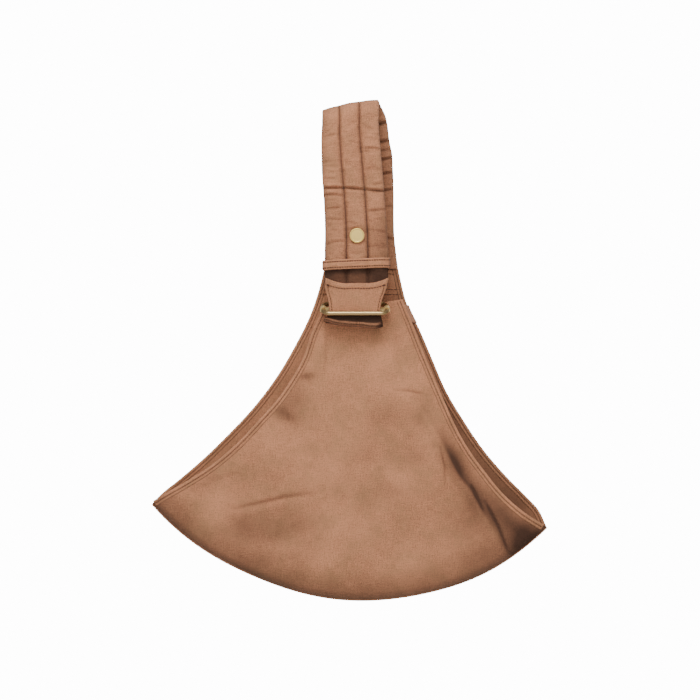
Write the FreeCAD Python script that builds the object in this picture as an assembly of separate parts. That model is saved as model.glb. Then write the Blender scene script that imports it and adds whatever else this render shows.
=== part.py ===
"""Baby sling: a cotton pouch hung from a quilted shoulder strap, with a sliding buckle.

The frame is in millimetres: +X to the wearer's left as seen from the front, +Y to the back, +Z up.
The origin is the middle of the underside of the strap's crown, where the sling rests on a shoulder.
The front of the sling, with the buckle and the button, faces -Y.

Each cloth part is a plain slab of its true size. A slab that bends in use is cut at the bend:
one side ends in a half-round edge and the other in a hollow that clears it, so the bend is a hinge.
"""

import FreeCAD
import Part
import math
import os

V = FreeCAD.Vector
X_AXIS = V(1, 0, 0)
Y_AXIS = V(0, 1, 0)

# Cloth
CLOTH = 0.9            # one layer of cotton canvas
LAYER_GAP = 0.1        # air between two layers sewn together
SHEET = 2 * CLOTH + LAYER_GAP
BEND_CLEARANCE = 0.3   # air round the half-round edge of a bend

# Quilted shoulder strap
STRAP_WIDTH = 64.8
CHANNELS = 3
PAD_THICKNESS = 9.6
CHANNEL_ROUNDING = 3.8
LOOP_RADIUS = 7.4      # inside radius of the crown
CROWN_SLOPE = 0.27     # the crown climbs towards +X
BACK_SHIFT = 5.5       # the back half lies this far towards +X of the front half
CROWN_BEND_Z = -16.0   # where both halves bend away from the crown
FRONT_PAD_END_Z = -172.0
BACK_PAD_END_Z = -149.0
BACK_TAB_END_Z = -186.5
BACK_TAB_THICKNESS = 2.2
BACK_TAB_INSET = 1.5       # the tab is this much narrower than the strap on each side
CROWN_LEG = 30.0           # legs of the crown before they are cut at the bends
PAD_Y = LOOP_RADIUS + PAD_THICKNESS / 2
CROWN_CENTRE_Z = -LOOP_RADIUS

# Plain button riveted through the front half
BUTTON_X = 2.0
BUTTON_Z = -121.4
BUTTON_RADIUS = 7.5
BUTTON_HEIGHT = 2.6
CAP_ROUNDING = 1.1
POST_RADIUS = 2.0
POST_CLEARANCE = 0.05
WASHER_RADIUS = 6.0
WASHER_THICKNESS = 1.2
WASHER_ROUNDING = 0.5

# Keeper loop round the front half
KEEPER_TOP_Z = -144.2
KEEPER_HEIGHT = 10.2
KEEPER_WALL = 1.4
KEEPER_CLEARANCE = 0.45
KEEPER_ROUNDING = 3.6    # of its outer corners

# Buckle
BAR_RADIUS = 2.2
FRAME_HALF_WIDTH = 34.3       # outside
FRAME_CORNER_RADIUS = 6.5     # of the rod's centreline
REAR_BAR_Y = -6.5
REAR_BAR_Z = -189.6
FRONT_BAR_Y = -28.2
FRONT_BAR_Z = -199.6
SLIDER_WIDTH = 5.0
SLIDER_THICKNESS = 2.2
SLIDER_FROM_REAR = 13.4
SLEEVE_LENGTH = 4.4
SLEEVE_WALL = 1.1
SLEEVE_CLEARANCE = 0.06

# Plain end of the front strap: down behind the slider bar, round, and up in front of it
STRAP_END = 1.6
DOWN_LEG_Y = -12.4
UP_LEG_Y = -24.75
TURN_Z = -208.5
TURN_HALF_WIDTH = 26.5
TAIL_BEND_Z = -196.5
TAIL_TOP_Z = -166.0
TAIL_FOOT = (-25.5, 24.5)     # lowest X and highest X
TAIL_HEAD = (-29.8, 33.8)
HEM_HEIGHT = 5.0
HEM_TAPER = 1.0

# Seat panels, as X and Z of their corners and of the middle of each curved side
FRONT_SHEET_Y = -6.5
BACK_SHEET_Y = 10.05
LEFT_CORNER = (-207.0, -393.7)
RIGHT_CORNER = (195.0, -416.7)
SEAT_BOTTOM = (5.0, -491.8)
FRONT_NECK_LEFT = (-33.0, -198.0)
FRONT_NECK_RIGHT = (35.0, -198.0)
FRONT_EAR = ((36.0, -188.0), (49.0, -188.0))
FRONT_LEFT_MID = (-96.0, -305.0)
FRONT_RIGHT_MID = (101.0, -314.0)
BACK_BEND_Z = -191.0
BACK_NECK_TOP_Z = -151.0
BACK_NECK_TOP = (-32.0, 44.0)
BACK_NECK_LOW = (-40.0, 53.5)
BACK_LEFT_MID = (-101.0, -292.0)
BACK_RIGHT_MID = (98.0, -288.0)
SEAM_TAPE = 1.2
TAPE_DROP = 4.0            # the tape starts this far below the line between the seat's corners
PIN_OVERHANG = 20.0

# Chape that ties the front panel's neck to the rear bar
CHAPE_INNER_RADIUS = 3.1
CHAPE_WALL = 1.2
CHAPE_HALF_WIDTH = 25.5
CHAPE_PINCH_Z = -203.0
CHAPE_END_Z = -212.0

# Blank side label folded over the back panel's edge
LABEL_TOP_Z = -193.5
LABEL_LENGTH = 17.0
LABEL_PROUD = 2.4
LABEL_TUCK = 5.0
LABEL_THICKNESS = 0.8

FAR = 600.0            # larger than the sling, for cutting boxes


def box(x0, x1, y0, y1, z0, z1):
    """Box between two values on each axis."""
    return Part.makeBox(x1 - x0, y1 - y0, z1 - z0, V(x0, y0, z0))


def rod(start, end, radius):
    """Round rod between two points."""
    along = end.sub(start)
    return Part.makeCylinder(radius, along.Length, start, along)


def prism(edges, direction):
    """Solid pushed out from the closed outline of these edges."""
    return Part.Face(Part.Wire(edges)).extrude(direction)


def polygon(points):
    """Straight edges round a closed list of points."""
    return [Part.LineSegment(a, b).toShape() for a, b in zip(points, points[1:] + points[:1])]


def one_solid(shape):
    """The single solid of a fused shape, without its inner seams."""
    return shape.removeSplitter().Solids[0]


def at(xz, y):
    """Point with this (X, Z) at depth y."""
    return V(xz[0], y, xz[1])


def rounded_bar(x0, x1, y0, y1, z0, z1, rounding):
    """Upright bar with its four long edges rounded."""
    bar = box(x0, x1, y0, y1, z0, z1)
    upright = [e for e in bar.Edges if abs(e.tangentAt(e.FirstParameter).z) > 0.99]
    return bar.makeFillet(rounding, upright)


# ---------------------------------------------------------------- quilted strap

def channels(x_centre, y_centre, z0, z1, inset):
    """The strap's three padded channels as upright bars, each drawn in by inset."""
    width = STRAP_WIDTH / CHANNELS
    half = PAD_THICKNESS / 2 - inset
    bars = []
    for i in range(CHANNELS):
        x0 = x_centre - STRAP_WIDTH / 2 + i * width
        bars.append(rounded_bar(x0 + inset, x0 + width - inset, y_centre - half, y_centre + half,
                                z0, z1, CHANNEL_ROUNDING - inset))
    return bars


def bend_pin(y, z, radius):
    """Long rod along X on a bend's axis."""
    return rod(V(-FAR, y, z), V(FAR, y, z), radius)


def half_round_below(shape, y, z, radius):
    """Keeps what is below z, and a half-round edge of this radius above it."""
    keep = box(-FAR, FAR, -FAR, FAR, -FAR, z).fuse(bend_pin(y, z, radius))
    return shape.common(keep)


def hollow_above(shape, y, z, radius):
    """Keeps what is above z, hollowed to clear a half-round edge of this radius."""
    keep = box(-FAR, FAR, -FAR, FAR, z, FAR)
    return shape.common(keep).cut(bend_pin(y, z, radius + BEND_CLEARANCE))


def arch(inset):
    """The crown's channels as half rings with legs, before they are slanted."""
    rings = []
    bars = channels(0, -PAD_Y, CROWN_CENTRE_Z - CROWN_LEG, CROWN_CENTRE_Z, inset)
    mirrored = channels(0, PAD_Y, CROWN_CENTRE_Z - CROWN_LEG, CROWN_CENTRE_Z, inset)
    for front, back in zip(bars, mirrored):
        top = max(front.Faces, key=lambda f: f.CenterOfMass.z)
        ring = top.revolve(V(0, 0, CROWN_CENTRE_Z), X_AXIS, -180)
        rings.append(one_solid(front.fuse([ring, back])))
    return rings


def slant(shape):
    """Slants the crown: it climbs towards +X, and its back leg moves towards +X."""
    shear = FreeCAD.Matrix()
    shear.A12 = BACK_SHIFT / (2 * PAD_Y)
    shear.A14 = BACK_SHIFT / 2
    shear.A31 = CROWN_SLOPE
    shear.A34 = CROWN_SLOPE * BACK_SHIFT / 2
    return shape.transformGeometry(shear)


def crown_piece(inset):
    """One slanted layer of the crown, cut clear of both bends."""
    pieces = []
    for ring in arch(inset):
        piece = slant(ring)
        for y in (-PAD_Y, PAD_Y):
            piece = hollow_above(piece, y, CROWN_BEND_Z, PAD_THICKNESS / 2)
        pieces.append(piece.Solids[0])
    return pieces


def cover_from(outers, inners):
    """Cover cloth: the fused channels with the wadding's room cut out."""
    cover = outers[0].fuse(outers[1:])
    return cover.cut(inners).Solids[0]


def straight_pad(x_centre, y_centre, end_z):
    """Cover and wadding of a straight half of the strap, half-round at the top."""
    top = CROWN_BEND_Z + PAD_THICKNESS
    outers = channels(x_centre, y_centre, end_z, top, 0)
    rooms = channels(x_centre, y_centre, end_z + CLOTH, top - CLOTH, CLOTH)
    stuffing = channels(x_centre, y_centre, end_z + CLOTH + LAYER_GAP, top, CLOTH + LAYER_GAP)
    radius = PAD_THICKNESS / 2
    rooms = [half_round_below(r, y_centre, CROWN_BEND_Z, radius - CLOTH) for r in rooms]
    cover = half_round_below(outers[0].fuse(outers[1:]), y_centre, CROWN_BEND_Z, radius)
    cover = cover.cut(rooms).Solids[0]
    wadding = [half_round_below(s, y_centre, CROWN_BEND_Z, radius - CLOTH - LAYER_GAP).Solids[0]
               for s in stuffing]
    return cover, wadding


def strap():
    """The whole quilted strap: crown, front half and back half, each as cover and wadding."""
    crown_cover = cover_from(crown_piece(0), crown_piece(CLOTH))
    crown_wadding = crown_piece(CLOTH + LAYER_GAP)
    front_cover, front_wadding = straight_pad(0, -PAD_Y, FRONT_PAD_END_Z)
    back_cover, back_wadding = straight_pad(BACK_SHIFT, PAD_Y, BACK_PAD_END_Z)
    hole = rod(V(BUTTON_X, -FAR, BUTTON_Z), V(BUTTON_X, 0, BUTTON_Z), POST_RADIUS + POST_CLEARANCE)
    front_cover = front_cover.cut(hole)
    front_wadding = [w.cut(hole) for w in front_wadding]
    return {
        "strap_crown_cover": [crown_cover],
        "strap_crown_wadding": crown_wadding,
        "strap_front_cover": front_cover.Solids,
        "strap_front_wadding": [s for w in front_wadding for s in w.Solids],
        "strap_back_cover": [back_cover],
        "strap_back_wadding": back_wadding,
    }


def back_tab():
    """Flat unpadded end of the back half, sewn behind the back panel's neck."""
    y0 = BACK_SHEET_Y + SHEET / 2 + LAYER_GAP
    half = STRAP_WIDTH / 2 - BACK_TAB_INSET
    return box(BACK_SHIFT - half, BACK_SHIFT + half, y0, y0 + BACK_TAB_THICKNESS,
               BACK_TAB_END_Z, BACK_PAD_END_Z)


# ---------------------------------------------------------------- button and keeper

def button():
    """Domed cap, post and washer of the riveted button."""
    face_y = -PAD_Y - PAD_THICKNESS / 2
    inside_y = -PAD_Y + PAD_THICKNESS / 2
    disc = rod(V(BUTTON_X, face_y, BUTTON_Z), V(BUTTON_X, face_y - BUTTON_HEIGHT, BUTTON_Z),
               BUTTON_RADIUS)
    rim = [e for e in disc.Edges if abs(e.CenterOfMass.y - (face_y - BUTTON_HEIGHT)) < 0.01]
    cap = disc.makeFillet(CAP_ROUNDING, rim)
    post = rod(V(BUTTON_X, face_y, BUTTON_Z), V(BUTTON_X, inside_y, BUTTON_Z), POST_RADIUS)
    washer = rod(V(BUTTON_X, inside_y, BUTTON_Z),
                 V(BUTTON_X, inside_y + WASHER_THICKNESS, BUTTON_Z), WASHER_RADIUS)
    edge = [e for e in washer.Edges if e.CenterOfMass.y > inside_y + WASHER_THICKNESS - 0.01]
    washer = washer.makeFillet(WASHER_ROUNDING, edge)
    return {"button_cap": [cap], "button_post": [post], "button_washer": [washer]}


def keeper():
    """Sewn band that goes round the front half and slides on it."""
    half = STRAP_WIDTH / 2 + KEEPER_CLEARANCE
    depth = PAD_THICKNESS / 2 + KEEPER_CLEARANCE
    low = KEEPER_TOP_Z - KEEPER_HEIGHT
    outside = rounded_bar(-half - KEEPER_WALL, half + KEEPER_WALL, -PAD_Y - depth - KEEPER_WALL,
                          -PAD_Y + depth + KEEPER_WALL, low, KEEPER_TOP_Z,
                          KEEPER_ROUNDING)
    inside = rounded_bar(-half, half, -PAD_Y - depth, -PAD_Y + depth, low, KEEPER_TOP_Z,
                         KEEPER_ROUNDING - KEEPER_WALL)
    return outside.cut(inside)


# ---------------------------------------------------------------- buckle

REAR_BAR = V(0, REAR_BAR_Y, REAR_BAR_Z)
FRONT_BAR = V(0, FRONT_BAR_Y, FRONT_BAR_Z)
FRAME_DEPTH = FRONT_BAR.sub(REAR_BAR).Length
TO_FRONT = FRONT_BAR.sub(REAR_BAR).normalize()
FRAME_NORMAL = X_AXIS.cross(TO_FRONT)


def on_frame(x, along, lift=0.0):
    """Point at x across the buckle, this far from the rear bar, and lifted off its plane."""
    return REAR_BAR.add(TO_FRONT * along).add(X_AXIS * x).add(FRAME_NORMAL * lift)


def frame_ring():
    """Rod bent to a rounded rectangle."""
    side = FRAME_HALF_WIDTH - BAR_RADIUS
    r = FRAME_CORNER_RADIUS
    bow = r * (1 - math.sqrt(0.5))
    d = FRAME_DEPTH
    path = [
        Part.LineSegment(on_frame(-side + r, 0), on_frame(side - r, 0)),
        Part.Arc(on_frame(side - r, 0), on_frame(side - bow, bow), on_frame(side, r)),
        Part.LineSegment(on_frame(side, r), on_frame(side, d - r)),
        Part.Arc(on_frame(side, d - r), on_frame(side - bow, d - bow), on_frame(side - r, d)),
        Part.LineSegment(on_frame(side - r, d), on_frame(-side + r, d)),
        Part.Arc(on_frame(-side + r, d), on_frame(-side + bow, d - bow), on_frame(-side, d - r)),
        Part.LineSegment(on_frame(-side, d - r), on_frame(-side, r)),
        Part.Arc(on_frame(-side, r), on_frame(-side + bow, bow), on_frame(-side + r, 0)),
    ]
    wire = Part.Wire([p.toShape() for p in path])
    section = Part.Wire([Part.Circle(on_frame(-side + r, 0), X_AXIS, BAR_RADIUS).toShape()])
    return wire.makePipeShell([section], True, True)


def slider_bar():
    """Flat bar across the buckle, with a sleeve at each end that slides on the frame's side."""
    side = FRAME_HALF_WIDTH - BAR_RADIUS
    reach = side - BAR_RADIUS
    half_width = SLIDER_WIDTH / 2
    half_thick = SLIDER_THICKNESS / 2
    ring_out = BAR_RADIUS + SLEEVE_CLEARANCE + SLEEVE_WALL
    corners = [on_frame(-reach, SLIDER_FROM_REAR + a, h)
               for a, h in ((-half_width, -half_thick), (half_width, -half_thick),
                            (half_width, half_thick), (-half_width, half_thick))]
    bar = prism(polygon(corners), X_AXIS * (2 * reach))
    for x in (-side, side):
        low = on_frame(x, SLIDER_FROM_REAR - SLEEVE_LENGTH / 2)
        high = on_frame(x, SLIDER_FROM_REAR + SLEEVE_LENGTH / 2)
        bar = bar.fuse(rod(low, high, ring_out))
    for x in (-side, side):
        low = on_frame(x, SLIDER_FROM_REAR - SLEEVE_LENGTH)
        high = on_frame(x, SLIDER_FROM_REAR + SLEEVE_LENGTH)
        bar = bar.cut(rod(low, high, BAR_RADIUS + SLEEVE_CLEARANCE))
    return one_solid(bar)


# ---------------------------------------------------------------- plain strap end

def turned_end():
    """Plain strap: a leg down, a half turn under the slider bar, and a short leg up."""
    half = STRAP_END / 2
    turn_y = (DOWN_LEG_Y + UP_LEG_Y) / 2
    mean = (DOWN_LEG_Y - UP_LEG_Y) / 2
    w = TURN_HALF_WIDTH
    down = box(-w, w, DOWN_LEG_Y - half, DOWN_LEG_Y + half, TURN_Z, FRONT_PAD_END_Z)
    up = box(-w, w, UP_LEG_Y - half, UP_LEG_Y + half, TURN_Z, TAIL_BEND_Z + half)
    up = hollow_below(up, UP_LEG_Y, TAIL_BEND_Z, half)
    centre = V(-w, turn_y, TURN_Z)
    tube = Part.makeCylinder(mean + half, 2 * w, centre, X_AXIS)
    tube = tube.cut(Part.makeCylinder(mean - half, 2 * w, centre, X_AXIS))
    turn = tube.common(box(-FAR, FAR, -FAR, FAR, -FAR, TURN_Z))
    return one_solid(down.fuse([turn, up]))


def hollow_below(shape, y, z, radius):
    """Keeps what is below z, hollowed to clear a half-round edge of this radius."""
    keep = box(-FAR, FAR, -FAR, FAR, -FAR, z)
    return shape.common(keep).cut(bend_pin(y, z, radius + BEND_CLEARANCE))


def tail():
    """Free end of the strap, wider at its hem, with a half-round foot at its bend."""
    half = STRAP_END / 2
    points = [V(TAIL_FOOT[0], UP_LEG_Y - half, TAIL_BEND_Z - half),
              V(TAIL_FOOT[1], UP_LEG_Y - half, TAIL_BEND_Z - half),
              V(TAIL_HEAD[1], UP_LEG_Y - half, TAIL_TOP_Z),
              V(TAIL_HEAD[0], UP_LEG_Y - half, TAIL_TOP_Z)]
    plate = prism(polygon(points), Y_AXIS * STRAP_END)
    keep = box(-FAR, FAR, -FAR, FAR, TAIL_BEND_Z, FAR).fuse(bend_pin(UP_LEG_Y, TAIL_BEND_Z, half))
    hem_front = UP_LEG_Y - half - CLOTH
    hem = prism(polygon([V(TAIL_HEAD[0] + HEM_TAPER, hem_front, TAIL_TOP_Z - HEM_HEIGHT),
                         V(TAIL_HEAD[1] - HEM_TAPER, hem_front, TAIL_TOP_Z - HEM_HEIGHT),
                         V(TAIL_HEAD[1], hem_front, TAIL_TOP_Z),
                         V(TAIL_HEAD[0], hem_front, TAIL_TOP_Z)]), Y_AXIS * (CLOTH + half))
    return one_solid(plate.common(keep).fuse(hem))


# ---------------------------------------------------------------- seat panels

def side_arc(start, middle, end, y):
    """Curved side of a panel through three (X, Z) points."""
    return Part.Arc(at(start, y), at(middle, y), at(end, y)).toShape()


def straight(start, end, y):
    """Straight side of a panel between two (X, Z) points."""
    return Part.LineSegment(at(start, y), at(end, y)).toShape()


def front_outline(y):
    """Edges of the front panel: neck with its ear, two curved sides and the seat's curve."""
    ear_in, ear_out = FRONT_EAR
    return [
        straight(FRONT_NECK_LEFT, FRONT_NECK_RIGHT, y),
        straight(FRONT_NECK_RIGHT, ear_in, y),
        straight(ear_in, ear_out, y),
        side_arc(ear_out, FRONT_RIGHT_MID, RIGHT_CORNER, y),
        side_arc(RIGHT_CORNER, SEAT_BOTTOM, LEFT_CORNER, y),
        side_arc(LEFT_CORNER, FRONT_LEFT_MID, FRONT_NECK_LEFT, y),
    ]


def back_outline(y):
    """Edges of the back panel, with room above its bend for the half-round edge."""
    left = (BACK_NECK_LOW[0], BACK_BEND_Z)
    right = (BACK_NECK_LOW[1], BACK_BEND_Z)
    rise = SHEET
    return [
        straight(left, (left[0], left[1] + rise), y),
        straight((left[0], left[1] + rise), (right[0], right[1] + rise), y),
        straight((right[0], right[1] + rise), right, y),
        side_arc(right, BACK_RIGHT_MID, RIGHT_CORNER, y),
        side_arc(RIGHT_CORNER, SEAT_BOTTOM, LEFT_CORNER, y),
        side_arc(LEFT_CORNER, BACK_LEFT_MID, left, y),
    ]


def layers(outline, sheet_y, outside):
    """Outer cloth and lining of a panel. outside is -1 for the front sheet and 1 for the back."""
    half = SHEET / 2
    low = {-1: sheet_y - half, 1: sheet_y + half - CLOTH}
    outer = prism(outline(low[outside]), Y_AXIS * CLOTH)
    lining = prism(outline(low[-outside]), Y_AXIS * CLOTH)
    return outer, lining


def above_seat_line(extra):
    """Everything above the slanted line between the seat's corners, moved down by extra."""
    left = at(LEFT_CORNER, -FAR)
    right = at(RIGHT_CORNER, -FAR)
    along = right.sub(left).normalize() * FAR
    down = V(0, 0, -extra)
    corners = [left.sub(along).add(down), right.add(along).add(down),
               right.add(along).add(V(0, 0, FAR)), left.sub(along).add(V(0, 0, FAR))]
    return prism(polygon(corners), Y_AXIS * (2 * FAR))


def seat_line_pin(radius):
    """Rod along the line between the seat's corners, on the front sheet."""
    left = at(LEFT_CORNER, FRONT_SHEET_Y)
    right = at(RIGHT_CORNER, FRONT_SHEET_Y)
    along = right.sub(left).normalize() * PIN_OVERHANG
    return rod(left.sub(along), right.add(along), radius)


def panels():
    """The front panel above the seat line, the seat's front below it, and the whole back."""
    half = SHEET / 2
    upper = above_seat_line(0).fuse(seat_line_pin(half))
    parts = {}
    for name, cloth in zip(("outer", "lining"), layers(front_outline, FRONT_SHEET_Y, -1)):
        lower = cloth.cut(above_seat_line(0)).cut(seat_line_pin(half + BEND_CLEARANCE))
        parts["front_panel_" + name] = cloth.common(upper).Solids
        parts["seat_front_" + name] = lower.Solids
    for name, cloth in zip(("outer", "lining"), layers(back_outline, BACK_SHEET_Y, 1)):
        parts["back_panel_" + name] = half_round_below(cloth, BACK_SHEET_Y, BACK_BEND_Z, half).Solids
    return parts


def back_neck():
    """Top of the back panel, sewn to the strap above the bend."""
    pieces = {}
    half = SHEET / 2
    for name, y in (("lining", BACK_SHEET_Y - half), ("outer", BACK_SHEET_Y + half - CLOTH)):
        points = [V(BACK_NECK_LOW[0], y, BACK_BEND_Z), V(BACK_NECK_LOW[1], y, BACK_BEND_Z),
                  V(BACK_NECK_TOP[1], y, BACK_NECK_TOP_Z), V(BACK_NECK_TOP[0], y, BACK_NECK_TOP_Z)]
        sheet = prism(polygon(points), Y_AXIS * CLOTH)
        pieces["back_neck_" + name] = hollow_above(sheet, BACK_SHEET_Y, BACK_BEND_Z, half).Solids
    return pieces


def seam_tape():
    """Tape inside the seat's curved seam, between the two linings."""
    y0 = FRONT_SHEET_Y + SHEET / 2
    y1 = BACK_SHEET_Y - SHEET / 2
    curve = side_arc(LEFT_CORNER, SEAT_BOTTOM, RIGHT_CORNER, y0).Curve
    centre = curve.Center
    reach = curve.Radius
    disc = Part.makeCylinder(reach, y1 - y0, centre, Y_AXIS)
    disc = disc.cut(Part.makeCylinder(reach - SEAM_TAPE, y1 - y0, centre, Y_AXIS))
    return disc.cut(above_seat_line(TAPE_DROP)).Solids


def chape():
    """Loop of cloth over the rear bar, with two legs that hold the front panel's neck."""
    outer = CHAPE_INNER_RADIUS + CHAPE_WALL
    pinch = SHEET / 2 + LAYER_GAP
    shapes = []
    for radius, leg in ((outer, pinch + CHAPE_WALL), (CHAPE_INNER_RADIUS, pinch)):
        x = -CHAPE_HALF_WIDTH

        def p(y, z):
            return V(x, REAR_BAR_Y + y, z)

        edges = [
            Part.Arc(p(-radius, REAR_BAR_Z), p(0, REAR_BAR_Z + radius), p(radius, REAR_BAR_Z)).toShape(),
            Part.LineSegment(p(radius, REAR_BAR_Z), p(leg, CHAPE_PINCH_Z)).toShape(),
            Part.LineSegment(p(leg, CHAPE_PINCH_Z), p(leg, CHAPE_END_Z)).toShape(),
            Part.LineSegment(p(leg, CHAPE_END_Z), p(-leg, CHAPE_END_Z)).toShape(),
            Part.LineSegment(p(-leg, CHAPE_END_Z), p(-leg, CHAPE_PINCH_Z)).toShape(),
            Part.LineSegment(p(-leg, CHAPE_PINCH_Z), p(-radius, REAR_BAR_Z)).toShape(),
        ]
        shapes.append(prism(edges, X_AXIS * (2 * CHAPE_HALF_WIDTH)))
    return shapes[0].cut(shapes[1])


def side_label():
    """Blank folded label on the outer face of the back panel's +X edge."""
    edge = side_arc((BACK_NECK_LOW[1], BACK_BEND_Z), BACK_RIGHT_MID, RIGHT_CORNER, 0)
    y = BACK_SHEET_Y + SHEET / 2 + LAYER_GAP
    low_z = LABEL_TOP_Z - LABEL_LENGTH
    ends = []
    for z in (LABEL_TOP_Z, low_z):
        level = Part.makeLine(V(0, 0, z), V(FAR, 0, z))
        ends.append(edge.distToShape(level)[1][0][0].x)
    points = [V(ends[0] - LABEL_TUCK, y, LABEL_TOP_Z), V(ends[0] + LABEL_PROUD, y, LABEL_TOP_Z),
              V(ends[1] + LABEL_PROUD, y, low_z), V(ends[1] - LABEL_TUCK, y, low_z)]
    return prism(polygon(points), Y_AXIS * LABEL_THICKNESS)


# ---------------------------------------------------------------- build

def build():
    """Every node by name, as a list of solids."""
    parts = {}
    parts.update(strap())
    parts["strap_back_tab"] = [back_tab()]
    parts.update(button())
    parts["keeper_loop"] = [keeper()]
    parts["buckle_frame"] = [frame_ring()]
    parts["buckle_slider_bar"] = [slider_bar()]
    parts["strap_turned_end"] = [turned_end()]
    parts["strap_tail"] = [tail()]
    parts.update(panels())
    parts.update(back_neck())
    parts["seat_seam_tape"] = seam_tape()
    parts["front_chape"] = [chape()]
    parts["side_label"] = [side_label()]
    return parts


os.makedirs("parts", exist_ok=True)
for node, solids in build().items():
    shape = solids[0] if len(solids) == 1 else Part.makeCompound(solids)
    print(node, len(solids), "valid" if shape.isValid() else "NOT VALID", round(shape.Volume, 1))
    shape.exportStep("parts/" + node + ".step")
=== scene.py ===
# %% [markdown]
# # A baby sling in cotton canvas
#
# The sling is a cloth pouch that hangs from a quilted shoulder strap. The front end of the strap runs
# through a metal slide buckle, and its spare end sticks up in front of it. Everything here is in metres,
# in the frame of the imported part: +X to the right seen from the front, +Y to the back, +Z up, and the
# origin under the crown of the strap.

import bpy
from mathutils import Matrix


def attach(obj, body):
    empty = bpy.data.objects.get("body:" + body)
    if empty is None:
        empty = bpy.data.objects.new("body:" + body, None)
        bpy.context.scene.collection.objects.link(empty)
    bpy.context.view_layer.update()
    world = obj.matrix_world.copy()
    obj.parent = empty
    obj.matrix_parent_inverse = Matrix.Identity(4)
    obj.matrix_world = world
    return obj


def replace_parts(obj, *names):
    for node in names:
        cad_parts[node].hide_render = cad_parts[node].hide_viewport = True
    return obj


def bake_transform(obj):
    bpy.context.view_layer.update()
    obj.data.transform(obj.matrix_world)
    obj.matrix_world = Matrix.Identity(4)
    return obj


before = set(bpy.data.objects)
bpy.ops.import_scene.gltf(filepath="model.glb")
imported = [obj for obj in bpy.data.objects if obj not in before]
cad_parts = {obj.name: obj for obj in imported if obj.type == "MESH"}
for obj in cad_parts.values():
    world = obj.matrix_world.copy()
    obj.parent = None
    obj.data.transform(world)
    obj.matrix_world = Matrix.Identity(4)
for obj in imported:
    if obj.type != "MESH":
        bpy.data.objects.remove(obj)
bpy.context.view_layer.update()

import math

import bmesh
import bpy
import numpy as np
from mathutils import Vector

MM = 0.001
rng = np.random.default_rng(11)


# %% [markdown]
# ## Small tools
#
# Cloth is described by formulas on whole arrays. `through` draws a smooth curve through a few points,
# `bell` is a soft bump, and `near_line` tells how far points are from a drawn crease.

# %% Curves and bumps
def through(t, knots, values):
    """Smooth curve through (knot, value) pairs: a cubic between each pair whose slope at a knot is
    that of the line between its two neighbours."""
    k, v = np.asarray(knots, float), np.asarray(values, float)
    slope = np.gradient(v, k)
    t = np.clip(t, k[0], k[-1])
    i = np.clip(np.searchsorted(k, t, side="right") - 1, 0, len(k) - 2)
    h = k[i + 1] - k[i]
    s = (t - k[i]) / h
    return ((2 * s**3 - 3 * s**2 + 1) * v[i] + (s**3 - 2 * s**2 + s) * h * slope[i]
            + (3 * s**2 - 2 * s**3) * v[i + 1] + (s**3 - s**2) * h * slope[i + 1])


def ease(x, low, high):
    """0 below low, 1 above high, and a smooth step between."""
    s = np.clip((x - low) / (high - low), 0, 1)
    return s * s * (3 - 2 * s)


def bell(x, centre, width):
    """Bump of height 1 at the centre, falling as a normal curve of this width."""
    return np.exp(-(((x - centre) / width) ** 2))


def run_along(line):
    """Distance covered along a line of points, from 0 at its first point."""
    return np.concatenate([[0], np.cumsum(np.linalg.norm(np.diff(line, axis=0), axis=1))])


def near_line(x, z, points):
    """Signed distance from a drawn line (positive on its right when walking along it), and how far
    along it the nearest point is, from 0 to 1."""
    p = np.asarray(points, float)
    steps = np.diff(p, axis=0)
    lengths = np.linalg.norm(steps, axis=1)
    start = np.concatenate([[0], np.cumsum(lengths)])
    best = np.full(x.shape, 1e9)
    side, along = np.zeros(x.shape), np.zeros(x.shape)
    for a, d, length, s0 in zip(p, steps, lengths, start):
        t = np.clip(((x - a[0]) * d[0] + (z - a[1]) * d[1]) / length**2, 0, 1)
        dx, dz = x - a[0] - t * d[0], z - a[1] - t * d[1]
        r = np.hypot(dx, dz)
        closer = r < best
        best = np.where(closer, r, best)
        side = np.where(closer, np.sign(d[1] * dx - d[0] * dz), side)
        along = np.where(closer, (s0 + t * length) / start[-1], along)
    return best * side, along


def crease(x, z, points, width, depth):
    """A valley along a drawn line that fades out at both ends."""
    distance, along = near_line(x, z, points)
    return depth * bell(distance, 0, width) * np.sin(np.pi * np.clip(along, 0.06, 0.94)) ** 0.5


def waves(x, z, count, longest, seed):
    """Soft random relief: a sum of plane waves of different lengths and directions, about 1 high."""
    r = np.random.default_rng(seed)
    total = np.zeros(x.shape)
    for k in range(count):
        angle, phase = r.uniform(0, 2 * np.pi, 2)
        length = longest * 0.78**k
        total += 0.85**k * np.sin(2 * np.pi * (x * math.cos(angle) + z * math.sin(angle)) / length + phase)
    return total / 2.2


# %% [markdown]
# ## From arrays to meshes
#
# A surface is a grid of points. Each piece of cloth gets a texture position in millimetres measured on
# the flat cloth, so that the weave keeps one size and runs straight along the grain.

# %% Grid meshes
def mesh_from(name, points, faces, uv=None):
    """Mesh object from point and face arrays (in millimetres), with one texture position per point."""
    mesh = bpy.data.meshes.new(name)
    mesh.from_pydata((np.asarray(points, float) * MM).tolist(), [], [list(map(int, f)) for f in faces])
    if uv is not None:
        layer = mesh.uv_layers.new(name="cloth")
        index = np.zeros(len(mesh.loops), np.int32)
        mesh.loops.foreach_get("vertex_index", index)
        layer.data.foreach_set("uv", np.asarray(uv, np.float32)[index].ravel())
    mesh.polygons.foreach_set("use_smooth", np.full(len(mesh.polygons), True))
    mesh.validate()
    obj = bpy.data.objects.new(name, mesh)
    bpy.context.scene.collection.objects.link(obj)
    return obj


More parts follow.
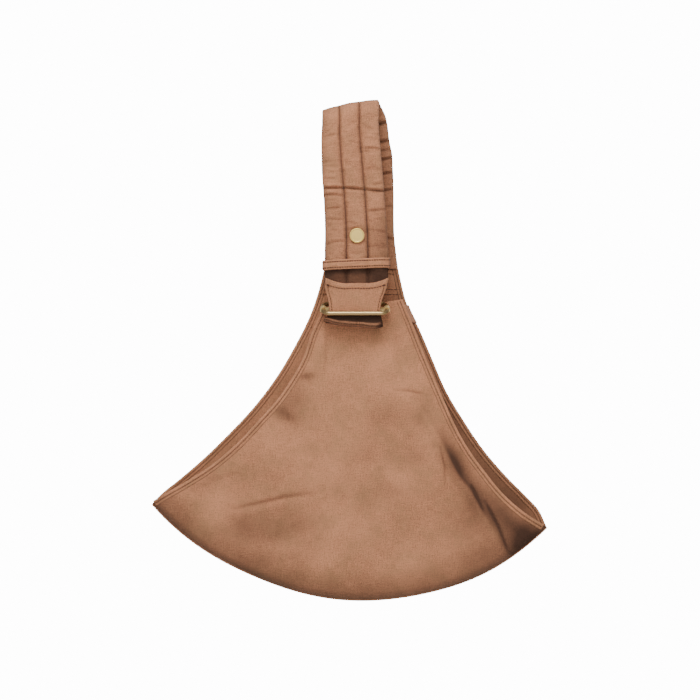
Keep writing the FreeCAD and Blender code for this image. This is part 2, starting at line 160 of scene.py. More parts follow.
def quads(rows, cols, wrap=False):
    """Faces of a rows x cols grid of points. With wrap, the last column joins the first."""
    last = cols if wrap else cols - 1
    r, c = np.meshgrid(np.arange(rows - 1), np.arange(last), indexing="ij")
    n = (c + 1) % cols
    return np.stack([r * cols + c, r * cols + n, (r + 1) * cols + n, (r + 1) * cols + c], -1).reshape(-1, 4)


def normals(p):
    """Unit normal at each point of a grid: the cross product of its two directions."""
    n = np.cross(np.gradient(p, axis=1), np.gradient(p, axis=0))
    return n / np.maximum(np.linalg.norm(n, axis=-1, keepdims=True), 1e-12)


RIM = 0.45   # thickness of a sheet's border, as a share of the full thickness


def sheet_mesh(name, p, uv, thick):
    """Closed cloth from a grid of middle points: two faces half a thickness either side of the middle,
    and a thinner rim round the border, so that it looks turned."""
    rows, cols = p.shape[:2]
    n = normals(p)
    r = np.minimum(np.arange(rows), np.arange(rows)[::-1])[:, None]
    c = np.minimum(np.arange(cols), np.arange(cols)[::-1])[None, :]
    inner = np.where(np.minimum(r, c) == 0, RIM, 1.0)[..., None]
    half = np.asarray(thick, float) / 2
    half = half[..., None] if half.ndim == 2 else half
    front, back = p + n * half * inner, p - n * half * inner
    count = rows * cols
    face = quads(rows, cols)
    ring = np.concatenate([np.arange(cols - 1), np.arange(rows - 1) * cols + cols - 1,
                           count - 1 - np.arange(cols - 1), (np.arange(rows - 1)[::-1] + 1) * cols])
    nxt = np.roll(ring, -1)
    rim = np.stack([ring, ring + count, nxt + count, nxt], -1)
    faces = np.concatenate([face[:, ::-1], face + count, rim])
    obj = mesh_from(name, np.concatenate([front.reshape(-1, 3), back.reshape(-1, 3)]), faces,
                    np.concatenate([uv.reshape(-1, 2)] * 2))
    return facing_out(obj)


def facing_out(obj):
    """Turns all faces of a closed piece to point outwards: first all one way, then by the sign of the
    volume they enclose."""
    mesh = obj.data
    faces = bmesh.new()
    faces.from_mesh(mesh)
    bmesh.ops.recalc_face_normals(faces, faces=faces.faces)
    if faces.calc_volume(signed=True) < 0:
        bmesh.ops.reverse_faces(faces, faces=faces.faces)
    faces.to_mesh(mesh)
    faces.free()
    return obj


def subdivide(obj):
    """Applies one level of smooth subdivision."""
    modifier = obj.modifiers.new("smooth", "SUBSURF")
    modifier.levels = modifier.render_levels = 1
    bpy.context.view_layer.update()
    smooth = bpy.data.meshes.new_from_object(obj.evaluated_get(bpy.context.evaluated_depsgraph_get()))
    obj.modifiers.clear()
    obj.data = smooth
    return obj


def points_of(mesh):
    """Vertex positions of a mesh in millimetres, as an array."""
    co = np.zeros(len(mesh.vertices) * 3)
    mesh.vertices.foreach_get("co", co)
    return co.reshape(-1, 3) / MM


def paint(obj, values):
    """Stores how much each point is darkened, from 0 to 1: mostly painted shade in folds, creases and
    recesses and under other parts, with a little uneven tone.
    """
    layer = obj.data.attributes.new("shade", "FLOAT", "POINT")
    layer.data.foreach_set("value", np.clip(values, 0, 1).astype(np.float32).ravel())
    return obj


# %% [markdown]
# ## Materials
#
# The cloth is a dusty brown cotton canvas in plain weave. Its threads are a little uneven, so single
# threads catch more or less light, and the dye is slightly mottled. One recipe makes every cloth piece.
# The pitch of the weave, the slubs along both threads and the mottling all read the flat texture position.

# %% Shader tools
def new_material(name):
    """Empty node material with its output and surface shader."""
    m = bpy.data.materials.new(name)
    m.use_nodes = True
    tree = m.node_tree
    tree.nodes.clear()
    out = tree.nodes.new("ShaderNodeOutputMaterial")
    bsdf = tree.nodes.new("ShaderNodeBsdfPrincipled")
    tree.links.new(bsdf.outputs[0], out.inputs[0])
    return m, tree, bsdf


def fill(tree, n, inputs):
    """Fills a node's inputs, by number or name, with values or links."""
    for key, value in inputs:
        if isinstance(value, bpy.types.NodeSocket):
            tree.links.new(value, n.inputs[key])
        else:
            n.inputs[key].default_value = value
    return n


def node(tree, kind, inputs=(), **settings):
    """Adds a node, sets its properties and fills its inputs."""
    n = tree.nodes.new("ShaderNode" + kind)
    for key, value in settings.items():
        setattr(n, key, value)
    return fill(tree, n, inputs)


def math_node(tree, operation, a, b=0.0, c=0.0):
    """Arithmetic on one to three values or links."""
    return node(tree, "Math", [(0, a), (1, b), (2, c)], operation=operation).outputs[0]


def noise(tree, vector, scale, detail=3.0, rough=0.55):
    """Noise value around 0.5."""
    return node(tree, "TexNoise", [("Vector", vector), ("Scale", scale), ("Detail", detail),
                                   ("Roughness", rough)]).outputs[0]


def stretched(tree, vector, x, y):
    """Texture position scaled by x and y."""
    return node(tree, "Mapping", [(0, vector), (3, (x, y, 1.0))]).outputs[0]


def lerp_colour(tree, factor, a, b):
    """Mix of two colours or links by a factor."""
    return node(tree, "Mix", [(0, factor), (6, a), (7, b)], data_type="RGBA").outputs[2]


def scaled(colour, red, green, blue):
    """A colour with its parts scaled."""
    return (colour[0] * red, colour[1] * green, colour[2] * blue, 1)


# %% Cloth and thread
RELIEF = 0.16   # height of the weave's relief
SHEEN = 0.16    # where the cloth isn't shaded


def canvas(name, light, dark, pitch=0.62, mottle=1.0):
    """Plain-weave cotton: egg-crate relief of one thread pitch, slubs, mottling and a dusty sheen.
    Texture positions are millimetres on the flat cloth. The shade stored on the points is painted shade, which
    darkens it and takes away its sheen."""
    m, t, bsdf = new_material(name)
    uv = node(t, "TexCoord").outputs["UV"]
    wander = noise(t, uv, 0.06, 2)
    bent = node(t, "VectorMath", [(0, uv), (1, wander)], operation="ADD").outputs[0]
    split = node(t, "SeparateXYZ", [(0, bent)])
    turn = math.pi / pitch
    across = math_node(t, "SINE", math_node(t, "MULTIPLY", split.outputs[0], turn))
    along = math_node(t, "SINE", math_node(t, "MULTIPLY", split.outputs[1], turn))
    crate = math_node(t, "MULTIPLY", across, along)
    warp = noise(t, stretched(t, uv, 1.6, 0.10), 1.0, 2)
    weft = noise(t, stretched(t, uv, 0.10, 1.6), 1.0, 2)
    thread = math_node(t, "ADD", warp, weft)
    blotch = noise(t, uv, 0.035, 4, 0.6)
    cloud = noise(t, uv, 0.016, 3, 0.5)
    fleck = noise(t, uv, 0.85, 3, 0.8)
    shade = math_node(t, "MULTIPLY_ADD", thread, 1.30, 0.0)
    shade = math_node(t, "MULTIPLY_ADD", crate, 0.14, shade)
    shade = math_node(t, "MULTIPLY_ADD", fleck, 3.2 * mottle, shade)
    shade = math_node(t, "MULTIPLY_ADD", cloud, 1.5 * mottle, shade)
    shade = math_node(t, "SUBTRACT", shade, 2.64 * mottle + 0.40)
    clamp = node(t, "Clamp", [(0, shade)]).outputs[0]
    cloth = lerp_colour(t, clamp, dark, light)
    amount = node(t, "MapRange", [(0, blotch), (1, 0.44), (2, 0.70), (3, 0.0), (4, 0.42 * mottle)]).outputs[0]
    cloth = lerp_colour(t, amount, cloth, scaled(dark, 0.92, 1.22, 1.12))
    # Painted shade: the stored shade mixes the cloth towards a deep, cooler brown and lowers its sheen.
    shaded = node(t, "Attribute", [], attribute_name="shade").outputs["Fac"]
    cloth = lerp_colour(t, shaded, cloth, scaled(dark, 0.22, 0.25, 0.30))
    height = math_node(t, "MULTIPLY_ADD", thread, 0.9, math_node(t, "MULTIPLY", crate, 0.35))
    height = math_node(t, "MULTIPLY_ADD", fleck, 0.7, height)
    bump = node(t, "Bump", [("Strength", 0.7), ("Distance", RELIEF * MM), ("Height", height)])
    fill(t, bsdf, [("Base Color", cloth), ("Normal", bump.outputs[0]), ("Roughness", 0.92),
                   ("Specular IOR Level", 0.18), ("Sheen Roughness", 0.55), ("Sheen Tint", (0.9, 0.8, 0.72, 1)),
                   ("Sheen Weight", math_node(t, "MULTIPLY_ADD", shaded, -SHEEN, SHEEN))])
    return m


def thread_material(name, colour):
    """Sewing thread: twisted and slightly glossy, in the colour it is given."""
    m, t, bsdf = new_material(name)
    fill(t, bsdf, [("Base Color", colour), ("Roughness", 0.6), ("Specular IOR Level", 0.2)])
    return m


CLOTH_LIGHT, CLOTH_DARK = (0.66, 0.286, 0.148, 1), (0.35, 0.147, 0.075, 1)
cloth = canvas("canvas_outer", CLOTH_LIGHT, CLOTH_DARK)
# A darker copy of the canvas for the turn, so that its painted shadow goes deeper.
shadowed_turn_cloth = canvas("canvas_turn_painted_shadow", CLOTH_LIGHT, scaled(CLOTH_DARK, 0.5, 0.5, 0.5))
label_tape = canvas("label_tape", (0.46, 0.22, 0.13, 1), (0.32, 0.15, 0.09, 1), pitch=0.3, mottle=0.6)
# Thread colour: the cloth's brown, darkened as painted shade for the stitch holes.
thread = thread_material("sewing_thread_painted_shade", (0.105, 0.040, 0.020, 1))


# %% Gold-toned metal
def gold(name, colour, rough, metallic):
    """Pale gold plating: nearly smooth, with a faint brushed unevenness and slightly darker wear."""
    m, t, bsdf = new_material(name)
    position = node(t, "TexCoord").outputs["Object"]
    patch = noise(t, position, 90.0, 3)
    faded = lerp_colour(t, math_node(t, "MULTIPLY", patch, 0.35), colour, scaled(colour, 0.72, 0.66, 0.55))
    fill(t, bsdf, [("Base Color", faded), ("Metallic", metallic),
                   ("Roughness", math_node(t, "MULTIPLY_ADD", patch, 0.14, rough - 0.07))])
    return m


# The buckle's frame and slider bar are one metal. The frame's copy is darker, a painted dimming of its
# reflections, and the slider's copy is paler and more matte, a painted highlight for its sleeves, which sit in the
# spare end's shadow.
buckle_gold = gold("buckle_gold", (0.52, 0.36, 0.17, 1), 0.30, 0.9)
slider_gold_painted_light = gold("slider_gold_painted_light", (0.90, 0.64, 0.28, 1), 0.38, 0.6)
cap_gold = gold("cap_gold", (1.0, 0.71, 0.20, 1), 0.40, 0.4)
print("materials:", len(bpy.data.materials))


# %% [markdown]
# ## Stitches
#
# A row of lockstitch shows as short slanted beads of thread, each sinking into the cloth at its ends
# where the needle went in. Each bead is a small spindle. One call sews a whole row along a line of
# points that lie on the cloth, with the cloth's own normals. The thread is darker than the cloth: a
# little of that is its own colour, and most is painted shade for the needle holes it sinks into. That
# darkness is what makes a row of stitches readable from a distance.

# %% Sewing a row
def resample(line, step):
    """Points at an even spacing along a line."""
    d = run_along(line)
    at = np.arange(step / 2, d[-1], step)
    return np.stack([np.interp(at, d, line[:, k]) for k in range(line.shape[1])], 1)


def sew(name, line, normal, step=3.0, thick=0.55, lift=0.1, slack=0.12, seed=3):
    """Beads of thread along `line`, each a six-sided spindle bulging out of the cloth. line and normal
    are (n, 3) arrays in millimetres."""
    r = np.random.default_rng(seed)
    d = run_along(line)
    at = np.arange(0, d[-1] - step, step)
    at = np.clip(at + r.normal(0, slack * 0.6, len(at)), 0, d[-1])

    def pick(values, where):
        return np.stack([np.interp(where, d, values[:, k]) for k in range(3)], 1)

    a, b = pick(line, at), pick(line, at + step * 0.86)
    n = pick(normal, at + step / 2)
    n /= np.linalg.norm(n, axis=1, keepdims=True)
    along = b - a
    side = np.cross(n, along)
    side /= np.maximum(np.linalg.norm(side, axis=1, keepdims=True), 1e-9)
    s = np.array([0.0, 0.18, 0.5, 0.82, 1.0])
    radius = thick / 2 * np.array([0.25, 0.85, 1.0, 0.85, 0.25])
    rise = thick * np.array([-0.35, 0.12, 0.32, 0.12, -0.35]) + lift
    angle = np.arange(6) * np.pi / 3
    skew = r.normal(0, slack, len(at))[:, None, None, None] * (s[None, :, None, None] - 0.5)
    ring = (a[:, None, None] + along[:, None, None] * s[None, :, None, None]
            + side[:, None, None] * (radius[None, :, None, None] * np.cos(angle)[None, None, :, None] + skew)
            + n[:, None, None] * (rise[None, :, None, None]
                                  + radius[None, :, None, None] * np.sin(angle)[None, None, :, None]))
    count = len(at)
    points = ring.reshape(-1, 3)
    one = quads(5, 6, wrap=True)
    caps = [[0, 1, 2, 3], [0, 3, 4, 5], [27, 26, 25, 24], [29, 28, 27, 24]]
    base = (np.arange(count) * 30)[:, None, None]
    faces = np.concatenate([(one[None] + base).reshape(-1, 4), (np.array(caps)[None] + base).reshape(-1, 4)])
    obj = facing_out(mesh_from(name, points, faces, np.zeros((len(points), 2))))
    obj.data.materials.append(thread)
    return obj


# %% [markdown]
# ## The quilted strap
#
# The strap is two layers of canvas with wadding between, sewn into three channels. It goes up from the
# back, over the shoulder and down the front. The wadding pushes the cloth out between the seams, and the
# seams gather the cloth a little, so small wrinkles run across each channel.
#
# The strap starts as a flat tube that already follows the fold. The cloth solver then blows it up a
# little with the seams held in place and the cloth slightly longer than its seams, which puckers it.

# %% The strap's path
BEND = 12.2          # from the middle of the fold to the middle of the pad
CHANNEL_POINTS = 10  # cloth segments across one channel
PAD_FRONT_END, PAD_BACK_END = -172.0, -154.0
TOP_LEFT, TOP_RIGHT = 3.6, 14.6   # middle of the pad at the fold, at the left and right edge
step = np.arange(CHANNEL_POINTS) / CHANNEL_POINTS
SPREAD = 0.5 * step + 0.25 * (1 - np.cos(np.pi * step))   # finer towards a channel's two seams
SEAMS = [0.0, 0.345, 0.678, 1.0]


def channel_shares(knots):
    """Shares of the strap's width at the points of all three channels, from the shares of the seams."""
    return np.concatenate([knots[..., k:k + 1] + SPREAD * (knots[..., k + 1:k + 2] - knots[..., k:k + 1])
                           for k in range(3)] + [knots[..., 3:]], -1)


def strap_edge(s, top, end, x_of_z):
    """One edge of the strap's middle layer for path positions s from 0 (fold) to 1 (end): a quarter
    circle over the fold, then straight down. Returns x, distance from the fold's plane, and z."""
    quarter = BEND * np.pi / 2
    drop = top - BEND - end
    path = s * (quarter + drop)
    turn = np.clip(path / BEND, 0, np.pi / 2)
    z = top - BEND * (1 - np.cos(turn)) - np.maximum(path - quarter, 0)
    return x_of_z(z), BEND * np.sin(turn), z


def strap_grid(front, rows):
    """Grid of the strap's middle layer from the fold to one end, rows x channel points."""
    s = np.linspace(0, 1, rows)
    if front:
        end = PAD_FRONT_END
        left_x = ([-10, 22, 60, 84, 120, 135, 172], [-33.2, -34.6, -33.8, -32.2, -31.0, -31.4, -31.2])
        right_x = ([-15, 8, 34, 69, 94, 135, 172], [25.0, 24.4, 26.4, 29.4, 31.2, 34.0, 34.0])
    else:
        end = PAD_BACK_END
        left_x = ([5, 30, 80, 154], [-33, -28, -26.5, -26])
        right_x = ([-15, -7, 3, 12, 25, 36, 49, 73, 119, 154],
                   [25.2, 30.2, 33.4, 34.6, 36.4, 38.6, 39.4, 40.2, 40.9, 44.8])
    left = strap_edge(s, TOP_LEFT, end, lambda z: through(-z, *left_x))
    right = strap_edge(s, TOP_RIGHT, end, lambda z: through(-z, *right_x))
    seam_1 = through(s, [0, 0.5, 1], [0.305, SEAMS[1], SEAMS[1]])
    seam_2 = through(s, [0, 0.5, 1], [0.65, SEAMS[2], SEAMS[2]])
    t = channel_shares(np.stack([0 * s, seam_1, seam_2, 0 * s + 1], 1))
    side = -1 if front else 1
    l = np.stack([left[0], side * left[1], left[2]], -1)[:, None]
    r = np.stack([right[0], side * right[1], right[2]], -1)[:, None]
    bow = 2.2 * np.sin(np.pi * t) * bell(s[:, None], 0, 0.2)
    return l + (r - l) * t[..., None] + bow[..., None] * np.array([0, 0, 1.0])


FRONT_ROWS, BACK_ROWS = 92, 80
front_grid, back_grid = strap_grid(True, FRONT_ROWS), strap_grid(False, BACK_ROWS)
middle = np.concatenate([back_grid[::-1], front_grid[1:]])
FOLD_ROW = BACK_ROWS - 1
print("strap grid:", middle.shape)


# %% Blow the strap up
def strap_tube(middle, start_height):
    """Closed tube round the middle layer, already full between the seams. Column 0 and the middle column
    are the side edges. Over the fold the seams lie higher, because the cloth is pulled tight there."""
    rows, cols = middle.shape[:2]
    n = normals(middle)
    f = np.append(np.tile(SPREAD, 3), 0)
    full = np.clip(1 - np.abs(2 * f - 1) ** 2.4, 0, 1) ** 0.55 * start_height + 0.4
    tight = np.full(cols, start_height * 0.90) + 0.4 + 0.10 * start_height * np.sin(np.pi * f)
    over = bell(np.arange(rows), FOLD_ROW, 4.5)[:, None]
    outside = full + (tight - full) * over
    inside = np.tile(full, (rows, 1))
    for profile in (outside, inside):
        profile[:, [0, -1]] = 0.0
    outer = middle - n * outside[..., None]
    inner = (middle + n * inside[..., None])[:, ::-1][:, 1:-1]
    return np.concatenate([outer, inner], 1)


def ring_columns(cols):
    """Ring positions of the seams and of the side edges."""
    inner = 2 * (cols - 1)
    seams = [CHANNEL_POINTS, 2 * CHANNEL_POINTS, inner - CHANNEL_POINTS, inner - 2 * CHANNEL_POINTS]
    return seams, [0, cols - 1]


def inflate(obj, pinned, pressure, growth, cap, frames=22):
    """Blows a closed cloth up with the weighted points held, then applies the result. No point moves
    more than cap millimetres."""
    rest = points_of(obj.data)
    group = obj.vertex_groups.new(name="held")
    for weight in np.unique(pinned[pinned > 0]):
        group.add([int(i) for i in np.nonzero(pinned == weight)[0]], float(weight), "REPLACE")
    scene = bpy.context.scene
    gravity = scene.use_gravity
    scene.use_gravity = False
    modifier = obj.modifiers.new("cloth", "CLOTH")
    s = modifier.settings
    s.quality, s.mass = 8, 0.15
    s.tension_stiffness = s.compression_stiffness = 12
    s.shear_stiffness, s.bending_stiffness = 5, 0.9
    s.air_damping = 6
    s.vertex_group_mass = "held"
    s.pin_stiffness = 1.0
    s.shrink_min = -growth
    s.use_pressure, s.uniform_pressure_force = True, pressure
    modifier.point_cache.frame_start, modifier.point_cache.frame_end = 1, frames
    modifier.collision_settings.use_collision = False
    for f in range(1, frames + 1):
        scene.frame_set(f)
    result = bpy.data.meshes.new_from_object(obj.evaluated_get(bpy.context.evaluated_depsgraph_get()))
    moved = points_of(result) - rest
    length = np.linalg.norm(moved, axis=1, keepdims=True)
    moved *= np.minimum(1, cap / np.maximum(length, 1e-9))
    obj.modifiers.clear()
    bpy.data.meshes.remove(result)
    scene.use_gravity = gravity
    scene.frame_set(1)
    return rest + moved


cols = middle.shape[1]
RING = 2 * (cols - 1)
tube = strap_tube(middle, 4.1)
rows = tube.shape[0]
tube += rng.normal(0, 0.04, tube.shape)
ends = np.arange(1, cols - 1)
lids = np.stack([ends[:-1], ends[1:], RING - ends[1:], RING - ends[:-1]], -1)
tips = np.array([[0, 1, RING - 1], [cols - 1, cols, cols - 2]])


def end_faces(row):
    """Faces that close the tube across one row: strips between its two layers and a tip at each edge."""
    return [*(lids + row * RING), *(tips + row * RING)]


tube_faces = [*quads(rows, RING, wrap=True), *end_faces(0), *end_faces(rows - 1)]
balloon = mesh_from("balloon", tube.reshape(-1, 3), tube_faces)
held = np.zeros((rows, RING))
seams, sides = ring_columns(cols)
held[:, sides] = 0.85
held[:, seams] = 1.0
held = np.maximum(held, np.round(0.95 * bell(np.arange(rows), FOLD_ROW, 5.0), 2)[:, None])
held[[0, 1, -2, -1]] = 1.0
tube = inflate(facing_out(balloon), held.ravel(), pressure=4.0, growth=0.016, cap=2.0)
tube = tube.reshape(rows, RING, 3)
bpy.data.objects.remove(balloon)


def denser(p):
    """Doubles the rows of a grid. A new row lies on the cubic through the two rows either side of it:
    nine sixteenths of each neighbour, less a sixteenth of each of the next ones."""
    q = np.concatenate([2 * p[:1] - p[1:2], p, 2 * p[-1:] - p[-2:-1]])
    out = np.empty((2 * len(p) - 1,) + p.shape[1:])
    out[::2], out[1::2] = p, (9 * (q[1:-2] + q[2:-1]) - q[:-3] - q[3:]) / 16
    return out


tube, middle = denser(tube), denser(middle)
rows, FOLD_ROW = len(tube), 2 * FOLD_ROW
share = channel_shares(np.array(SEAMS))
ring_uv_x = 66 * np.concatenate([share, 1 + (1 - share[::-1])[1:-1]])
tube_uv = np.stack(np.meshgrid(ring_uv_x, np.arange(rows) * 1.03, indexing="xy"), -1)
print("strap thickness:", round(float(np.ptp(tube[FOLD_ROW + 100, :, 1])), 1), "mm, grid:", tube.shape[:2])


# %% [markdown]
# ## Finish the pad
#
# The fold of the strap at the buckle end leaves a crosswise crease in all three channels, and the button
# draws the pad in round itself. Both are pressed in after the cloth has been blown up: the crease scales
# the thickness down along a line, and the dimple pushes the face back round the button.

# %% Creases, dimple and the two halves
BUTTON_X, BUTTON_Z = 2.0, -120.6
centre_ring = np.concatenate([middle, middle[:, ::-1][:, 1:-1]], 1)
across = np.concatenate([share, share[::-1][1:-1]])   # share of the strap's width round the ring


def press(tube, shade, row_z, depth, width, columns, front=True, tilt=0.0):
    """Squeezes the tube towards its middle layer at a height, over some share of its width, with a low
    ridge above the crease. The crease is shaded as well."""
    z = tube[..., 2]
    line = row_z + 0.9 * np.sin(5 * across) + tilt * (across - 0.5)
    reach = ease(across, columns[0] - 0.06, columns[0]) * (1 - ease(across, columns[1], columns[1] + 0.06))
    reach = reach * ((tube[..., 1] < 0) == front)
    amount = depth * reach * (bell(z, line, width) - 0.3 * bell(z, line + 2.4 * width, 1.5 * width))
    shade = shade + (0.85 if front else 0.5) * depth * reach * bell(z, line - 0.3, 0.85 * width)
    return tube + (centre_ring - tube) * np.minimum(amount, 0.9)[..., None], shade


# height, depth, width, share of the strap's width it spans, slope
CREASES = [(-73.5, 0.72, 1.15, (0, 1), -1.5), (-82, 0.42, 1.0, (0, 0.3), -5), (-31, 0.34, 1.0, (0.66, 1), -2),
           (-36, 0.22, 1.0, (0.70, 1), 4), (-97.5, 0.34, 1.1, (0.72, 1), 9), (-92, 0.24, 1.0, (0.04, 0.26), 5),
           (-88, 0.14, 1.2, (0.36, 0.64), 5), (-112, 0.22, 1.2, (0.72, 0.97), -10),
           (-107, 0.2, 1.1, (0.02, 0.28), -6), (-126, 0.2, 1.2, (0.02, 0.3), 7),
           (-132, 0.16, 1.2, (0.7, 0.95), 6), (-19, 0.12, 1.2, (0.04, 0.3), 3),
           (-45, 0.14, 1.2, (0.02, 0.26), 4), (-55, 0.16, 1.2, (0.74, 0.98), 6), (-66, 0.18, 1.1, (0.0, 0.2), -6),
           (-78, 0.2, 1.0, (0.8, 1.0), 6), (-50, 0.1, 1.2, (0.4, 0.62), -3)]
BACK_CREASES = [(-9.5, 0.85, 1.7, (0.55, 1), 14), (-27, 0.75, 1.3, (0.55, 1), 12),
                (-35, 0.45, 1.1, (0.6, 1), 9),
                (-45, 0.6, 1.2, (0.6, 1), 12), (-59, 0.6, 1.2, (0.6, 1), 10), (-77, 0.6, 1.2, (0.6, 1), 12),
                (-92, 0.3, 1.4, (0.6, 1), 6), (-117, 0.5, 1.8, (0.8, 1), -12), (-140, 0.3, 2.0, (0, 0.6), 6)]
shade = np.zeros(tube.shape[:2])
# Painted shade: dark along the quilting seams, fading out below the keeper, and towards the two side edges of the
# pad's front half.
seam_shade_fade = 1 - 0.7 * ease(-tube[:, 5, 2], 146, 154)
for k, amount in ((0, 0.85), (-1, 0.24), (1, 0.24)):
    shade[:, [c + k for c in ring_columns(cols)[0]]] = amount * seam_shade_fade[:, None]
shade += np.where(tube[..., 1] < 0, 0.12 * ease(tube[..., 0], 24, 31) + 0.16 * ease(-tube[..., 0], 27, 32), 0)
for z_at, depth, width, span, tilt in CREASES:
    tube, shade = press(tube, shade, z_at, depth, width, span, True, tilt)
for k in range(46):   # small puckers, each starting at a seam or an edge
    z_at, seam, long = rng.uniform(-148, -8), SEAMS[k % 4], rng.uniform(0.1, 0.2)
    span = (seam, seam + long) if k % 8 < 4 and seam < 1 or seam == 0 else (seam - long, seam)
    depth, width, tilt = rng.uniform(0.06, 0.17), rng.uniform(0.8, 1.3), rng.normal(0, 9)
    tube, shade = press(tube, shade, z_at, depth, width, span, True, tilt)
for z_at, depth, width, span, tilt in BACK_CREASES:
    tube, shade = press(tube, shade, z_at, depth, width, span, False, tilt)
x, y, z = np.moveaxis(tube, -1, 0)
flatten = 0.45 * ease(-z, 148, 166) * (y < 0)
tube = tube + (centre_ring - tube) * flatten[..., None]
reach = np.hypot(x - BUTTON_X, z - BUTTON_Z)
tube[..., 1] += np.where(y < -BEND, 1.7 * bell(reach, 0, 9) - 0.35 * bell(reach, 12, 3), 0)
# Painted shade in the dimple round the button.
shade += np.where(y < -BEND, 0.16 * bell(reach, 8.2, 2.4), 0)
# Painted shade in the recess below the keeper, behind the spare end.
shade += np.where(y < 0, 0.72 * ease(-z, 152, 155) + 0.25 * bell(z, -156, 3.2), 0)
# Darker towards the lower end of the pad, most on its two outer channels.
shade += np.where(y < 0, 0.30 * ease(-z, 60, 125) * (bell(x, 28, 12) + 0.6 * bell(x, -30, 9)), 0)
shade += np.where(y < 0, 0.10 * ease(-z, 60, 130), 0)
# Painted shade on the inner face of the back half, inside the fold.
shade += np.where((y > 0) & (y < BEND), 0.40, 0)


def pad_half(name, part, uv, shade, lid_row):
    """One half of the strap as a smooth piece, closed at its lower end and open at the fold."""
    faces = [*quads(len(part), RING, wrap=True), *end_faces(lid_row)]
    obj = mesh_from(name, part.reshape(-1, 3), faces, uv.reshape(-1, 2))
    subdivide(paint(facing_out(obj), shade))
    obj.data.materials.append(cloth)
    return obj


def bend_strap(obj):
    """Bakes the piece's placement into its mesh."""
    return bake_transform(obj)


back_pad = pad_half("strap_back_pad", tube[:FOLD_ROW + 1], tube_uv[:FOLD_ROW + 1],
                    shade[:FOLD_ROW + 1], 0)
front_pad = pad_half("strap_front_pad", tube[FOLD_ROW:], tube_uv[FOLD_ROW:], shade[FOLD_ROW:],
                     rows - 1 - FOLD_ROW)
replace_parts(bend_strap(front_pad), "strap_front_cover", "strap_front_wadding",
            "strap_crown_cover", "strap_crown_wadding")
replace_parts(bend_strap(back_pad), "strap_back_cover", "strap_back_wadding", "strap_back_tab")

# %% Quilting seams
for half, part, first, last in (("front_strap", "front", FOLD_ROW, rows - 1),
                                ("back_strap", "back", 0, FOLD_ROW)):
    for k, column in enumerate(ring_columns(cols)[0]):
        line = tube[first:last + 1, column]
        out = line - centre_ring[first:last + 1, column]
        row = sew(f"quilting_{part}_{k}", line, out, step=3.1, thick=0.6, lift=0.15, seed=20 + k)
        bend_strap(row)
print("pad points:", len(front_pad.data.vertices) + len(back_pad.data.vertices))


# %% [markdown]
# ## The button
#
# A pressed cap with a raised rim and a slightly domed, plain face, turned like a pot on a wheel.

# %% Turned cap
def turned(name, profile, centre, segments=64):
    """Closed surface of revolution about Y from (radius, depth) pairs, first and last at radius 0."""
    p = np.asarray(profile, float)
    angle = np.linspace(0, 2 * np.pi, segments, endpoint=False)
    body = p[1:-1]
    ring = np.stack([centre[0] + body[:, :1] * np.cos(angle), centre[1] + body[:, 1:] + 0 * angle,
                     centre[2] + body[:, :1] * np.sin(angle)], -1)
    count = len(body) * segments
    points = np.concatenate([ring.reshape(-1, 3), [[centre[0], centre[1] + p[0, 1], centre[2]],
                                                   [centre[0], centre[1] + p[-1, 1], centre[2]]]])
    i = np.arange(segments)
    j = (i + 1) % segments
    faces = [*quads(len(body), segments, wrap=True), *np.stack([i, j, i * 0 + count], -1),
             *np.stack([i + count - segments, j + count - segments, i * 0 + count + 1], -1)]
    return facing_out(mesh_from(name, points, faces, points[:, [0, 2]]))


cap_profile = [(0, -2.32), (2.0, -2.31), (4.0, -2.27), (5.4, -2.2), (5.9, -2.16), (6.15, -2.22),
               (6.4, -2.42), (6.7, -2.5), (7.0, -2.44), (7.3, -2.2), (7.5, -1.8), (7.5, -0.9),
               (7.1, 0.2), (6.0, 0.6), (0, 0.6)]
button = turned("button_face", cap_profile, (BUTTON_X, -16.3, BUTTON_Z))
button.data.materials.append(cap_gold)
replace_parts(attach(button, "front_strap"), "button_cap", "button_post")
for name in ("button_washer", "buckle_frame", "buckle_slider_bar"):
    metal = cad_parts[name]
    metal.data.materials.clear()
    metal.data.materials.append(slider_gold_painted_light if name == "buckle_slider_bar" else buckle_gold)
    metal.data.polygons.foreach_set("use_smooth", np.full(len(metal.data.polygons), True))


# %% [markdown]
# ## The keeper
#
# A band of folded canvas, stitched along both edges, goes round the pad and holds the spare end of the
# strap. Seen from the front it climbs slightly to the right. Its section is a soft rectangle that follows
# the three channels.

# %% Band round the pad
BAND_ROWS, BAND_COLUMNS = 48, 160   # points round the band's own section, and round the pad
BAND_WIDE, BAND_DEEP = 33.6, 5.9    # half sizes of the loop
BAND_HIGH, BAND_THICK = 5.1, 0.85   # half sizes of the band's section
BAND_STITCHES = 2.9                 # from the band's centre line to each row of stitches


def power(values, exponent):
    """Values raised to an exponent with their sign kept."""
    return np.sign(values) * np.abs(values) ** exponent


def keeper_points():
    """Closed loops of the band: rows across its section (round its thickness), columns round the pad."""
    angle = np.linspace(0, 2 * np.pi, BAND_COLUMNS, endpoint=False)
    x = BAND_WIDE * power(np.cos(angle), 0.22)
    y = BAND_DEEP * power(np.sin(angle), 0.45)
    y = y - 0.35 * np.sign(y) * (bell(x, -10.5, 2.2) + bell(x, 11.5, 2.2))
    section = np.linspace(0, 2 * np.pi, BAND_ROWS, endpoint=False)
    h = BAND_HIGH * power(np.cos(section), 0.6)
    w = BAND_THICK * np.sin(section) * (1 - 0.4 * bell(np.abs(h), BAND_STITCHES, 0.6))
    outward = np.stack([x / BAND_WIDE**1.2, y / BAND_DEEP, 0 * x], -1)
    outward /= np.linalg.norm(outward, axis=1, keepdims=True)
    base = np.stack([x + 1.1, y - BEND, -149.4 + 0.042 * x + 0.25 * np.sin(3 * angle)], -1)
    points = base[None] + outward[None] * w[:, None, None] + np.array([0, 0, 1.0]) * h[:, None, None]
    return points, base, outward


